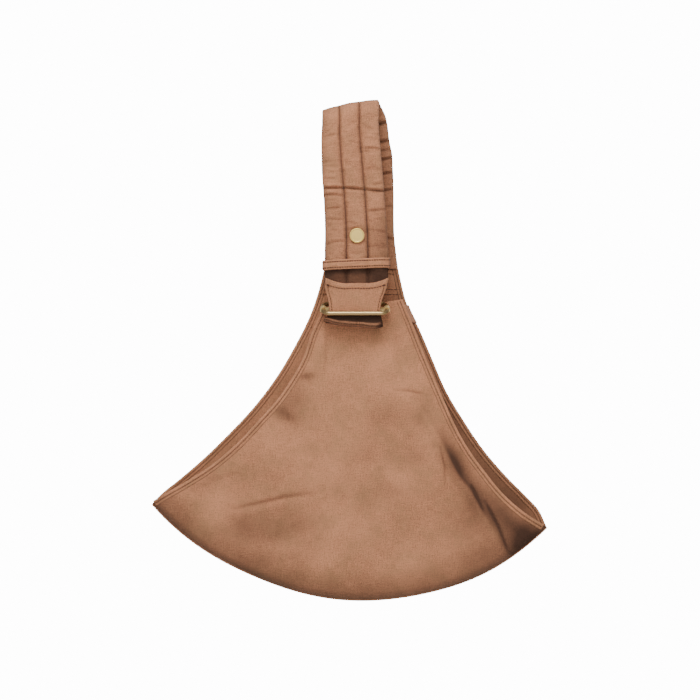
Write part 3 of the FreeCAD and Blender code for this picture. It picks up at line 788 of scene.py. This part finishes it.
band, band_line, band_out = keeper_points()
column = np.arange(BAND_COLUMNS)
following = (column + 1) % BAND_COLUMNS
last = (BAND_ROWS - 1) * BAND_COLUMNS
closing = np.stack([last + column, last + following, following, column], -1)
band_uv = np.stack(np.broadcast_arrays(np.linspace(0, 146, BAND_COLUMNS)[None],
                                       np.linspace(0, 22, BAND_ROWS)[:, None]), -1)
keeper = mesh_from("keeper_band", band.reshape(-1, 3), [*quads(BAND_ROWS, BAND_COLUMNS, wrap=True), *closing],
                   band_uv.reshape(-1, 2))
facing_out(keeper).data.materials.append(cloth)
above = band[..., 2] - band_line[None, :, 2]
# Painted shade along the two rows of stitches and under the band's lower edge.
paint(keeper, 0.3 * bell(np.abs(above), BAND_STITCHES, 0.8) + 0.35 * ease(-above, 4.2, 5.2))
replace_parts(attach(keeper, "keeper"), "keeper_loop")
closed, out = (np.concatenate([p, p[:2]]) for p in (band_line, band_out))
for k, above in enumerate((BAND_STITCHES, -BAND_STITCHES)):
    row = sew(f"keeper_stitches_{k}", closed + out * 0.5 + [0, 0, above], out,
              step=2.5, thick=0.95, lift=0.2, seed=40 + k)
    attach(row, "keeper")


# %% [markdown]
# ## The seat panels
#
# Both panels are cut like a fan. Their curved sides are hemmed, and a turned seam joins them round the
# bottom, so the cloth rolls softly into that seam. Between neck and seam the cloth hangs nearly flat, with
# a few creases from being folded and soft hollows where it isn't stretched. The panel is a height field
# over the flat cut: each crease is drawn as a short line, and the roll into the seam is a quarter ellipse.

# %% Outlines
LEFT_CORNER, RIGHT_CORNER, LOWEST = (-207.0, -393.7), (195.3, -416.9), (5.0, -491.8)
FRONT_LEFT = [(-31.8, -199.5), (-41.5, -221), (-50, -246), (-61.9, -267.5), (-76, -288), (-95.5, -310),
              (-118.2, -334), (-143.5, -355.5), (-171.5, -373.7), (-194.7, -387), (-204.3, -393.2)]
FRONT_RIGHT = [(45.4, -186.2), (55.5, -211), (65.2, -236), (75.5, -260.9), (86, -285.6), (95.8, -308),
               (106.3, -328.5), (117, -345.5), (127.8, -360), (149.3, -386), (170, -404), (191, -417.5)]
BACK_LEFT = [(-31, -150), (-35.7, -170.3), (-45.9, -200.9), (-61, -231.5), (-79, -262.1), (-102, -293),
             (-130.6, -323.8), (-160.5, -352.5), (-180.5, -369.5), (-199.9, -385.5), (-207, -393.2)]
BACK_RIGHT = [(43.5, -149.5), (46.9, -165.2), (52, -185.6), (66.5, -216.2), (79.6, -246.8), (92.8, -277.4),
              (111.2, -308.5), (131.6, -338.6), (157, -368), (174.4, -385.5), (188.5, -401), (195.3, -416.5)]


def drawn(points, count):
    """Smooth curve of `count` points through a short outline."""
    p = np.asarray(points, float)
    d = run_along(p)
    t = np.linspace(0, d[-1], count)
    return np.stack([through(t, d, p[:, 0]), through(t, d, p[:, 1])], 1)


def side_step(line, amount):
    """The line moved sideways by amount, to the right of its direction of travel."""
    d = np.gradient(line, axis=0)
    d /= np.linalg.norm(d, axis=1, keepdims=True)
    return line + amount * np.stack([-d[:, 1], d[:, 0]], 1)


def circle_through(a, b, c):
    """Centre and radius of the circle through three points."""
    m = 2 * np.array([[b[0] - a[0], b[1] - a[1]], [c[0] - a[0], c[1] - a[1]]])
    v = np.array([b[0]**2 - a[0]**2 + b[1]**2 - a[1]**2, c[0]**2 - a[0]**2 + c[1]**2 - a[1]**2])
    centre = np.linalg.solve(m, v)
    return centre, float(np.hypot(*(np.array(a) - centre)))


SEAT_CENTRE, SEAT_RADIUS = circle_through(LEFT_CORNER, LOWEST, RIGHT_CORNER)


def seat_swell(x):
    """How far the seam stands out from the circle: the cloth is a little slack towards the right."""
    return -2.9 * bell(x, -105, 62) + 2.4 * bell(x, 135, 52)


def seat_arc(u):
    """Point on the seat's seam at share u from the left corner to the right one."""
    a0 = math.atan2(LEFT_CORNER[1] - SEAT_CENTRE[1], LEFT_CORNER[0] - SEAT_CENTRE[0]) % (2 * math.pi)
    a1 = math.atan2(RIGHT_CORNER[1] - SEAT_CENTRE[1], RIGHT_CORNER[0] - SEAT_CENTRE[0]) % (2 * math.pi)
    a = a0 + (a1 - a0) * u
    r = SEAT_RADIUS + seat_swell(SEAT_CENTRE[0] + SEAT_RADIUS * np.cos(a))
    return np.stack([SEAT_CENTRE[0] + r * np.cos(a), SEAT_CENTRE[1] + r * np.sin(a)], -1)


def from_seam(x, z):
    """Distance from the seat's seam, positive inside the panel."""
    return SEAT_RADIUS + seat_swell(x) - np.hypot(x - SEAT_CENTRE[0], z - SEAT_CENTRE[1])


# %% Relief of the two panels
SEAM_Y = 1.8


def rolled(x, z, width=30.0):
    """0 on the seat's seam and 1 inside: a quarter ellipse of this width."""
    s = np.clip(from_seam(x, z) / width, 0, 1)
    return np.sqrt(np.clip(1 - (1 - s) ** 2, 0, 1))


def spot(x, z, centre, size, turn=0.0):
    """Soft ellipse of height 1: centre and half sizes in millimetres, turned by this many degrees."""
    c, s = math.cos(math.radians(turn)), math.sin(math.radians(turn))
    a, b = (x - centre[0]) * c + (z - centre[1]) * s, (z - centre[1]) * c - (x - centre[0]) * s
    return np.exp(-((a / size[0]) ** 2 + (b / size[1]) ** 2))


# The long diagonal fold at the right, and short creases that are both pressed in and shaded
FOLD = [(70, -298), (78, -312), (86, -326), (95, -345), (106, -366), (117, -379), (131, -402), (146, -430),
        (155, -444)]
UPRIGHT = [(86, -335), (90.5, -354), (91.2, -375)]
SHORT = [(118, -374), (126, -392), (131, -404)]
CORNER = [(132, -390), (145, -415), (156, -443)]
LEFT_PLEAT = [(-29.5, -210), (-29.8, -232), (-30.5, -258)]

# Creases of the front panel: line, width, depth (a negative depth makes a ridge)
PRESSED = [([(-126, -399), (-100, -393), (-66, -386), (-40, -381)], 2.6, 1.5),
           ([(-122, -404), (-98, -399), (-64, -391)], 4.5, -1.0), ([(-133, -365), (-118, -362)], 2.0, 0.9),
           ([(-51, -260), (-48.5, -268), (-45, -275)], 2.6, 1.3), (LEFT_PLEAT, 2.2, 0.55),
           ([(41, -277.4), (55, -278.2), (68, -281.5)], 2.0, 1.0),
           ([(43, -203), (42.5, -225), (46, -250)], 5.5, 1.6), (UPRIGHT, 1.4, 0.9), (SHORT, 2.0, 1.1),
           (CORNER, 2.2, 1.4), ([(150, -398), (166, -420)], 5.0, -1.2),
           ([(-12, -328), (16, -328.6)], 1.8, 0.35),
           ([(46, -337.5), (88, -336)], 2.2, 0.5)]
# Hollows of the front panel: depth (negative for a swelling), centre, half sizes
HOLLOWS = [(-1.5, (0, -335), (90, 60)), (3.2, (-78, -427), (38, 17)), (1.3, (-72, -300), (4, 5)),
           (1.2, (-67.5, -308), (3, 4)), (-2.2, (-112, -352), (26, 22)), (1.6, (30, -440), (40, 16))]


def front_relief(x, z):
    """How far the front panel's cloth stands towards the front, in millimetres."""
    r = 0.55 * waves(x, z, 7, 160, 5) + 0.10 * waves(x, z, 6, 26, 9)
    r -= sum(crease(x, z, *line) for line in PRESSED)
    r -= sum(depth * spot(x, z, centre, size) for depth, centre, size in HOLLOWS)
    distance, along = near_line(x, z, FOLD)
    fade = np.sin(np.pi * np.clip(along, 0.08, 0.92))
    return r + fade * (2.2 * bell(distance, 4, 5.0) - 3.0 * ease(-distance, -2, 12))


BACK_FOLDS = [[(-92, -300), (-40, -326), (30, -343)], [(62, -238), (24, -258), (-20, -266)],
              [(112, -388), (66, -416), (4, -430)], [(-140, -382), (-104, -396), (-72, -400)],
              [(-12, -205), (-16, -236), (-10, -262)], [(40, -290), (66, -318), (84, -352)]]


def back_relief(x, z):
    """How far the back panel's cloth stands towards the back."""
    r = 3.0 * bell(z, -340, 70) - 2.0 * spot(x, z, (-60, -420), (40, 18))
    r -= sum(crease(x, z, points, 3.4, 1.6) for points in BACK_FOLDS)
    return r + 0.6 * waves(x, z, 7, 150, 15) + 0.1 * waves(x, z, 6, 28, 19)


def front_y(x, z):
    """Depth of the front panel's middle layer."""
    flat = -6.5 - 5.5 * ease(-z, 215, 330) * rolled(x, z, 60)
    calm = ease(-z, 196, 232) * rolled(x, z, 45)
    return SEAM_Y - 0.5 + (flat - SEAM_Y + 0.5) * rolled(x, z) - calm * front_relief(x, z)


def back_y(x, z):
    """Depth of the back panel's middle layer."""
    calm = ease(-z, 190, 232) * rolled(x, z, 45)
    return SEAM_Y + 0.5 + (10.05 - SEAM_Y + 0.5) * rolled(x, z) + calm * back_relief(x, z)


# Painted shade on the front panel, in its hollows and behind its folds, with some of the cloth's own darker
# patches: depth, centre, half sizes, turn
SHADED = [(0.42, (-80, -423), (42, 15), 8), (0.44, (-114, -414), (18, 16), 20), (0.16, (-52, -412), (16, 7), 10),
          (0.16, (-80, -447), (34, 7), 4), (0.20, (-72, -404), (34, 9), 10), (0.42, (-71, -303), (14, 6), -30),
          (0.50, (-48, -263), (9, 4), 10), (0.24, (-60, -258), (10, 4), -30), (0.38, (-66, -291), (22, 18), -40),
          (0.26, (-137, -366), (14, 3), 8), (0.18, (-152, -373), (10, 3), 0), (0.14, (43, -225), (7, 24), 0),
          (0.24, (66, -307), (6, 11), 0), (0.24, (60, -345), (11, 13), 25), (0.22, (42, -381), (17, 8), -10),
          (0.42, (101, -352), (9, 26), 28), (0.30, (120, -388), (10, 20), 20), (0.40, (118, -413), (24, 26), 15),
          (0.66, (163, -416), (27, 17), -38), (0.50, (170, -436), (9, 8), 0), (0.16, (118, -445), (30, 10), 15),
          (0.12, (20, -345), (34, 9), 0), (0.30, (100, -346), (13, 34), 28),
          (0.30, (143, -391), (11, 24), 42), (0.12, (40, -300), (30, 14), 10), (0.10, (-10, -380), (40, 16), -8)]


# Shade in the front panel's sharp creases: line, width, strength
CREASE_SHADES = [([(-122, -397), (-97, -392), (-72, -385), (-42, -382)], 2.4, 0.42), (UPRIGHT, 1.2, 0.42),
                 (SHORT, 1.6, 0.38), (CORNER, 2.0, 0.45), (LEFT_PLEAT, 2.0, 0.2),
                 ([(41, -277.4), (55, -278.2), (70, -281.5)], 1.4, 0.38)]


def front_painted_shade(x, z):
    """Painted shade on the front panel: in its hollows, behind the diagonal fold, in its sharp creases and
    towards the seam, where the cloth rolls away, with a little random unevenness."""
    inside = from_seam(x, z)
    d = sum(depth * spot(x, z, centre, size, turn) for depth, centre, size, turn in SHADED)
    d = d + 0.46 * (1 - ease(inside, 2, 38)) + 0.26 * (1 - ease(inside, 0, 9))
    distance, along = near_line(x, z, FOLD)
    behind = np.maximum(-distance, 0)
    d += 0.50 * ease(-distance, -2, 2.5) * np.exp(-behind / 14) * np.sin(np.pi * np.clip(along, 0.1, 0.9))
    d += sum(crease(x, z, *line) for line in CREASE_SHADES)
    return d + 0.05 * waves(x, z, 5, 120, 77) + 0.03 * waves(x, z, 5, 40, 79)


def back_painted_shade(x, z):
    """Painted shade on the back panel's outer face: a little all over, along its creases and towards the seam,
    where the cloth rolls away.
    """
    d = 0.12 + 0.4 * (1 - ease(from_seam(x, z), 2, 34)) + 0.05 * waves(x, z, 6, 110, 80)
    return d + sum(crease(x, z, points, 3.0, 0.3) for points in BACK_FOLDS)


def lined(x, z):
    """Darkening of the back panel's inner face, which lies in the shade of the front one."""
    return 0.08 + 0.62 * ease(x, 20, 60) + 0.06 * waves(x, z, 5, 90, 78)


# %% [markdown]
# The grid of a panel runs from its neck to the seat's seam. Its columns crowd towards the hemmed sides,
# where the shape changes fastest. Texture positions are the flat cut's own X and Z, so the weave hangs
# straight down.

# %% Panel cloth
def panel_grid(left, right, rows, cols, depth):
    """Grid between two side curves whose last row is the seat's seam."""
    t = np.linspace(0, 1, cols)
    u = 0.5 - 0.5 * np.cos(np.pi * t) * 0.35 - 0.65 * (0.5 - t)
    u = (u - u[0]) / (u[-1] - u[0])
    v = np.linspace(0, 1, rows)
    l, r = drawn(left, rows), drawn(right, rows)
    l[-1], r[-1] = LEFT_CORNER, RIGHT_CORNER
    flat = l[:, None] + (r - l)[:, None] * u[None, :, None]
    belly = seat_arc(u) - (np.array(LEFT_CORNER) + (np.array(RIGHT_CORNER) - LEFT_CORNER) * u[:, None])
    flat = flat + belly[None] * (v**2.2)[:, None, None]
    x, z = flat[..., 0], flat[..., 1]
    return np.stack([x, depth(x, z), z], -1), np.stack([x, z], -1)


def bend_seat(obj):
    """Bakes the piece's placement into its mesh."""
    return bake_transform(obj)


def bend_neck(obj):
    """Bakes the piece's placement into its mesh."""
    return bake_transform(obj)


EDGE = 3.2   # from the hem's stitches to the cloth's edge
front_left = side_step(drawn(FRONT_LEFT, 220), -EDGE)
front_right = side_step(drawn(FRONT_RIGHT, 220), EDGE)
front_left[:, 0] = np.maximum(front_left[:, 0], -207)
panel, flat_uv = panel_grid(front_left[::8], front_right[::8], 190, 210, front_y)
front_cloth = sheet_mesh("front_panel_cloth", panel, flat_uv, 1.2)
front_cloth.data.materials.append(cloth)
paint(front_cloth, np.stack([front_painted_shade(panel[..., 0], panel[..., 2])] * 2))
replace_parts(bend_seat(front_cloth), "front_panel_outer", "front_panel_lining",
            "seat_front_outer", "seat_front_lining")
panel, flat_uv = panel_grid(BACK_LEFT, BACK_RIGHT, 190, 210, back_y)
back_cloth = sheet_mesh("back_panel_cloth", panel, flat_uv, 1.2)
back_cloth.data.materials.append(cloth)
paint(back_cloth, np.stack([shade_of(panel[..., 0], panel[..., 2]) for shade_of in (back_painted_shade, lined)]))
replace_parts(bend_neck(back_cloth), "back_panel_outer", "back_panel_lining",
            "back_neck_outer", "back_neck_lining")


# %% [markdown]
# ## Hems
#
# Each curved side is turned over twice and stitched. The hem is a little thicker than the panel, rounded
# at its outer edge, and drawn in along its stitches, where it puckers once per stitch.

# %% Hem bands
def hem(name, edge, inward, depth, body_of, out, shaded=0.0, plump=1.15, step=3.0):
    """Rounded band along a cloth edge. edge is an (n, 2) line of X and Z, inward is 1 or -1 for the side
    of the line the cloth lies on, depth gives Y, and out is -1 where the row of stitches faces the front.
    shaded darkens the whole band."""
    line = resample(edge, 0.95)
    d = run_along(line)
    a = np.array([0, 0.25, 0.9, 1.8, 2.6, EDGE, 3.8, 4.6, 5.7, 6.3, 6.6])
    h = plump * np.array([0, 0.55, 0.88, 1.0, 0.92, 0.66, 0.9, 1.0, 0.92, 0.72, 0.2])
    pucker = 1 + 0.16 * np.cos(2 * np.pi * d / step)[:, None] * bell(a, EDGE, 1.5)[None]
    lumps = 1 + 0.10 * waves(d, 0 * d, 5, 37, 5 + len(name))[:, None]
    grids = []
    for face in (out, -out):
        cut = np.stack([side_step(line, inward * w) for w in a], 1)
        y = depth(cut[..., 0], cut[..., 1]) + face * h[None] * pucker * lumps
        grids.append(np.stack([cut[..., 0], y, cut[..., 1]], -1))
    ring = np.concatenate([grids[0], grids[1][:, ::-1][:, 1:-1]], 1)
    n, m = ring.shape[:2]
    faces = [*quads(n, m, wrap=True), list(range(m)), list(range((n - 1) * m, n * m))[::-1]]
    turn = np.concatenate([a, a[::-1][1:-1] + 8])
    uv = np.stack(np.broadcast_arrays(turn[None], d[:, None]), -1)
    band = facing_out(mesh_from(name, ring.reshape(-1, 3), faces, uv.reshape(-1, 2)))
    band.data.materials.append(cloth)
    # Painted shade along the row of stitches and along the hem's inner edge, where it steps down onto the panel;
    # shaded adds painted shade over the whole band.
    stitch_shade = 0.5 * bell(a, EDGE, 0.9) + 0.75 * bell(a, 6.5, 0.7) + shaded
    paint(band, np.broadcast_to(np.concatenate([stitch_shade, stitch_shade[::-1][1:-1]]), (n, m)))
    pieces = [band]
    for face in (out, -out):
        seam = side_step(line, inward * EDGE)
        y = depth(seam[:, 0], seam[:, 1]) + face * plump * 0.66
        stitched = np.stack([seam[:, 0], y, seam[:, 1]], 1)
        normal = np.tile([0.0, face, 0.0], (n, 1))
        side = "face" if face == out else "inside"
        pieces.append(sew(f"{name}_stitches_{side}", stitched, normal, step=step, seed=len(name)))
    for piece in pieces:
        body_of(piece)
    return pieces


front_hems = (hem("front_hem_left", front_left, 1, front_y, bend_seat, -1)
              + hem("front_hem_right", front_right, -1, front_y, bend_seat, -1))
# The back hems lie in the front panel's shade: a little painted shade over the whole band, more on the right.
back_hems = (hem("back_hem_left", drawn(BACK_LEFT, 220), 1, back_y, bend_neck, 1, 0.04)
             + hem("back_hem_right", drawn(BACK_RIGHT, 220), -1, back_y, bend_neck, 1, 0.3))
print("hem pieces:", len(front_hems) + len(back_hems))


# %% Seat seam
def roll_of(name, line, radius, sides=10):
    """Soft round roll along a line of points."""
    line = np.asarray(line, float)
    along = np.gradient(line, axis=0)
    along /= np.linalg.norm(along, axis=1, keepdims=True)
    across = np.cross(along, [0, 1.0, 0])
    across /= np.linalg.norm(across, axis=1, keepdims=True)
    angle = np.arange(sides) * 2 * np.pi / sides
    ring = line[:, None] + radius * (np.cos(angle)[None, :, None] * across[:, None]
                                     + np.sin(angle)[None, :, None] * np.array([0, 1.0, 0]))
    uv = np.stack(np.broadcast_arrays(np.linspace(0, 2 * np.pi * radius, sides)[None],
                                      run_along(line)[:, None]), -1)
    n = len(line)
    faces = [*quads(n, sides, wrap=True), list(range(sides)), list(range((n - 1) * sides, n * sides))]
    return facing_out(mesh_from(name, ring.reshape(-1, 3), faces, uv.reshape(-1, 2)))


arc = seat_arc(np.linspace(0, 1, 380))
seam_line = np.stack([arc[:, 0], SEAM_Y + 0 * arc[:, 0], arc[:, 1]], 1)
seam_roll = roll_of("seat_seam", seam_line, 1.15)
seam_roll.data.materials.append(cloth)
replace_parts(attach(seam_roll, "back_panel"), "seat_seam_tape")


# %% [markdown]
# ## The spare end
#
# The strap's plain end comes up in front of the slider bar. It is wider at its hemmed top, where the
# corners curl forward. The sheet is a grid whose depth curls at the two top corners, and its hem is a
# second, thicker fold of the same cloth with a row of stitches under it.

# %% Tail
def tail_surface(u, v):
    """Point of the tail's middle layer: u from 0 at its left side to 1 at its right, v from 0 at the
    buckle to 1 at the top."""
    left = through(v, [0, 0.35, 0.75, 1], [-25.6, -26.8, -30.4, -29.8])
    right = through(v, [0, 0.35, 0.75, 1], [24.8, 26.8, 32.0, 33.6])
    top = through(u, [0, 0.08, 0.25, 0.5, 0.78, 0.92, 1], [-163.8, -165.8, -168.8, -168.9, -168.3, -165.8, -163.6])
    z = -200.5 + (top + 200.5) * v
    x = left + (right - left) * u
    curl = 3.2 * bell(u, 0, 0.10) * ease(v, 0.55, 1) + 2.6 * bell(u, 1, 0.12) * ease(v, 0.5, 1)
    sag = 1.6 * np.sin(np.pi * u) * ease(v, 0.1, 0.8) - 1.0 * ease(v, 0.2, 0.9)
    ripple = 0.45 * np.sin(2 * np.pi * (u * 1.4 + 0.1)) * v + 0.25 * np.sin(9 * u + 4 * v)
    return np.stack([x, -24.4 + sag - curl + ripple * v, z], -1)


u, v = np.meshgrid(np.linspace(0, 1, 60), np.linspace(0, 1, 40))
hem_line = 0.825   # share of the height at which the top hem is stitched
thickness = 1.5 + 0.9 * ease(v, hem_line - 0.03, hem_line + 0.05) - 0.5 * bell(v, hem_line + 0.01, 0.018)
thickness = thickness + 0.5 * (bell(u, 0.02, 0.03) + bell(u, 0.98, 0.03))
tail = sheet_mesh("spare_end", tail_surface(u, v), np.stack([u * 62, v * 38], -1), thickness)
tail.data.materials.append(cloth)
# Painted shade along the rows of stitches, at the top edge and at the foot behind the front bar.
shade = 0.26 * bell(v, hem_line, 0.022) + 0.3 * (bell(u, 0.05, 0.012) + bell(u, 0.955, 0.012)) * (v < hem_line)
shade = shade + 0.3 * ease(v, 0.985, 1) + 0.4 * (1 - ease(v, 0.02, 0.1))
paint(tail, np.stack([shade, shade]))
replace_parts(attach(tail, "tail"), "strap_tail")


def tail_row(name, us, vs, seed):
    """Row of stitches on the front face of the tail, through shares us and vs."""
    p = tail_surface(us, vs) - np.array([0, 0.85, 0])
    row = sew(name, p, np.tile([0.0, -1.0, 0.0], (len(p), 1)), step=2.8, thick=0.75, seed=seed)
    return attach(row, "tail")


share = np.linspace(0, 1, 60)
tail_rows = [tail_row("tail_hem_stitches", 0.04 + 0.92 * share, 0 * share + hem_line, 51),
             tail_row("tail_side_stitches_left", 0 * share + 0.05, 0.02 + 0.81 * share, 52),
             tail_row("tail_side_stitches_right", 0 * share + 0.955, 0.02 + 0.81 * share, 53)]
for k, corner in enumerate((0.05, 0.95)):
    zigzag = corner + 0.03 * np.sin(np.linspace(0, 9 * np.pi, 60))
    tail_rows.append(tail_row(f"tail_tack_{k}", zigzag, hem_line - 0.02 + 0.04 * share, 54 + k))


# %% [markdown]
# ## The turn round the slider bar
#
# Behind the buckle the strap runs down, turns forward and comes up again behind the front bar. The turn is
# slack, so a fold of cloth hangs below the front bar and catches the light along its crest. The shadow
# under the bar and the light on the crest are also painted on the cloth. It is drawn as a profile, seen
# from the side, and swept across; the profile drops a little towards the right.

# %% Turned strap end
TURN_PROFILE = [(-24.4, -199.5), (-24.5, -203.4), (-24.8, -206.4), (-25.4, -208.0), (-25.6, -209.2),
                (-24.9, -210.6), (-23.0, -211.9), (-20.4, -212.5), (-17.8, -212.0), (-14.4, -208.6),
                (-12.8, -201.5), (-12.4, -190.0), (-11.6, -172.0), (-9.6, -158.0)]
TURN_LENGTH = 79.0   # of the cloth along the profile
CREST = 10.3   # how far along the profile the fold stands out furthest


def turn_surface(u, v):
    """Point of the turn's middle layer: u across from left to right, v along from the tail's foot."""
    p = np.asarray(TURN_PROFILE, float)
    d = run_along(p)
    y, z = through(v * d[-1], d, p[:, 0]), through(v * d[-1], d, p[:, 1])
    path = v * TURN_LENGTH
    flare = bell(path, 14.5, 9.8)
    left = -26.0 - 5.4 * flare
    right = 25.4 + 3.0 * flare
    x = left + (right - left) * u
    drop = flare * (-0.09 * x + 2.6 * bell(u, 0, 0.16) + 2.4 * bell(u, 1, 0.07))
    gather = 0.4 * np.sin(21 * u + 1) * bell(path, 10.5, 6.5) + 0.35 * np.sin(13 * u) * flare
    squeeze = 2.4 * (bell(u, 0, 0.05) + bell(u, 1, 0.05)) * flare
    return np.stack([x, y + gather + squeeze, z + drop + 0.4 * gather], -1)


u, v = np.meshgrid(np.linspace(0, 1, 70), np.linspace(0, 1, 110))
turn_thick = 1.5 + 0.45 * (bell(u, 0.02, 0.03) + bell(u, 0.98, 0.03))
turn = sheet_mesh("strap_turn", turn_surface(u, v), np.stack([u * 58, v * TURN_LENGTH], -1), turn_thick)
turn.data.materials.append(shadowed_turn_cloth)
path = v * TURN_LENGTH
# Painted shadow of the front bar over the whole turn, left out along the crest as a painted highlight, and lighter
# on the fold's lower edge and on the leg behind the bar.
shade = 0.98 - 0.98 * bell(path, CREST, 0.75) * ease(1 - u, 0, 0.12)           # dark but for its crest,
shade = shade - 0.72 * bell(path, CREST + 3.6, 2.0) * ease(1 - u, 0.02, 0.2)   # the lower edge of the fold
shade = shade - 0.6 * (ease(path, 20, 34) - ease(path, 50, 57))                # and its leg behind the bar
paint(turn, np.stack([shade, shade]))
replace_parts(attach(turn, "front_strap"), "strap_turned_end")


# %% Chape, back neck seams and side label
def swept(name, profile, x0, x1, columns, thick):
    """Strip of cloth of constant section between two X positions, from (Y, Z) profile points."""
    p = drawn(profile, 60)
    x = np.linspace(x0, x1, columns)
    grid = np.stack([np.broadcast_to(x[None], (60, columns)), np.broadcast_to(p[:, :1], (60, columns)),
                     np.broadcast_to(p[:, 1:], (60, columns))], -1)
    uv = np.stack(np.broadcast_arrays(x[None], run_along(p)[:, None]), -1)
    return sheet_mesh(name, grid, uv, thick)


BAR_Y = -6.5   # of the buckle's rear bar
loop_half = [(1.9, -212), (1.9, -203), (3.4, -194), (3.5, -188.5)]   # half width and height
loop_profile = ([(BAR_Y - half, z_at) for half, z_at in loop_half] + [(BAR_Y, -185.9)]
                + [(BAR_Y + half, z_at) for half, z_at in loop_half[::-1]])
chape = swept("chape_cloth", loop_profile, -25.5, 25.5, 40, 1.1)
chape.data.materials.append(cloth)
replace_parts(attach(chape, "front_panel"), "front_chape")

share = np.linspace(0, 1, 80)
for k, z_at in enumerate((-154.0, -158.6, -174.4, -179.5)):
    left = through(np.array([-z_at]), [149, 165, 190], [-31, -34.5, -42])[0]
    right = through(np.array([-z_at]), [149, 165, 190], [43.5, 46.9, 53])[0]
    x = left + 2 + (right - left - 4) * share
    for face, side in ((-1, "inside"), (1, "outside")):
        y = back_y(x, 0 * x + z_at) + face * 0.75
        row = sew(f"neck_stitches_{side}_{k}", np.stack([x, y, 0 * x + z_at + 0.3 * np.sin(x / 9)], 1),
                  np.tile([0.0, face, 0.0], (80, 1)), step=3.0, thick=0.75, seed=60 + k)
        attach(row, "back_strap")

u, v = np.meshgrid(np.linspace(0, 1, 24), np.linspace(0, 1, 14))
edge_x = through(190.4 + 18.4 * v, [180, 191, 209, 216], [50.4, 54.2, 62.7, 66.5])
fold = np.cos(np.pi * u)
label_grid = np.stack([edge_x + 1.6 - 8.5 * np.abs(fold), 10.05 - 2.2 * fold, -190.4 - 18.4 * v], -1)
label = sheet_mesh("side_label_tape", label_grid, np.stack([u * 20, v * 18], -1), 0.5)
label.data.materials.append(label_tape)
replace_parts(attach(label, "back_panel"), "side_label")


# %% [markdown]
# ## Studio
#
# The light is soft and comes mostly from above and in front. With painted shade on the cloth, it draws a
# dark line under the buckle and rounds the bottom seam. The surroundings are white, and a pale floor lies
# well below.

# %% Light, floor and camera
def area_light(name, place, aim, size, power):
    """Square soft light at a place, aimed at a point."""
    data = bpy.data.lights.new(name, "AREA")
    data.shape, data.size, data.energy = "SQUARE", size, power
    obj = bpy.data.objects.new(name, data)
    bpy.context.scene.collection.objects.link(obj)
    obj.location = place
    obj.rotation_euler = (Vector(aim) - Vector(place)).to_track_quat("-Z", "Y").to_euler()
    return obj


area_light("key", (-0.25, -1.45, 1.55), (0, 0, -0.25), 0.9, 33)
area_light("canopy", (0.2, -1.9, 1.5), (0, 0, -0.25), 2.4, 30)
area_light("front", (0.2, -2.4, -0.3), (0, 0, -0.28), 2.6, 15)
area_light("back", (0.4, 1.8, 0.9), (0, 0, -0.25), 1.2, 14)

AROUND, BEHIND, FLOOR_Z = 0.22, 14.0, -1250   # light from all round, white seen behind the sling, floor
world = bpy.data.worlds.new("studio")
bpy.context.scene.world = world
world.use_nodes = True
tree = world.node_tree
tree.nodes.clear()
seen = node(tree, "LightPath").outputs["Is Camera Ray"]
shine = node(tree, "Background", [(0, (1, 1, 1, 1)), (1, AROUND)])
white = node(tree, "Background", [(0, (1, 1, 1, 1)), (1, BEHIND)])
both = node(tree, "MixShader", [(0, seen), (1, shine.outputs[0]), (2, white.outputs[0])])
node(tree, "OutputWorld", [(0, both.outputs[0])])

floor_corners = [(-3000, -2500), (3000, -2500), (3000, 3000), (-3000, 3000)]
floor = mesh_from("floor", [(x, y, FLOOR_Z) for x, y in floor_corners], [(0, 1, 2, 3)])
pale, t, bsdf = new_material("pale_floor")
glow = math_node(t, "MULTIPLY", node(t, "LightPath").outputs["Is Camera Ray"], 1.6)
fill(t, bsdf, [("Base Color", (0.9, 0.9, 0.9, 1)), ("Roughness", 0.8), ("Emission Color", (1, 1, 1, 1)),
               ("Emission Strength", glow)])
floor.data.materials.append(pale)

DISTANCE, FRAME_WIDTH = 2.4, 0.714
camera_data = bpy.data.cameras.new("camera")
camera_data.sensor_width = 36
camera_data.lens = 36 * DISTANCE / FRAME_WIDTH
camera = bpy.data.objects.new("camera", camera_data)
bpy.context.scene.collection.objects.link(camera)
camera.location = (-0.0051, -DISTANCE, -0.2366)
camera.rotation_euler = (math.pi / 2, 0, 0)
bpy.context.scene.camera = camera
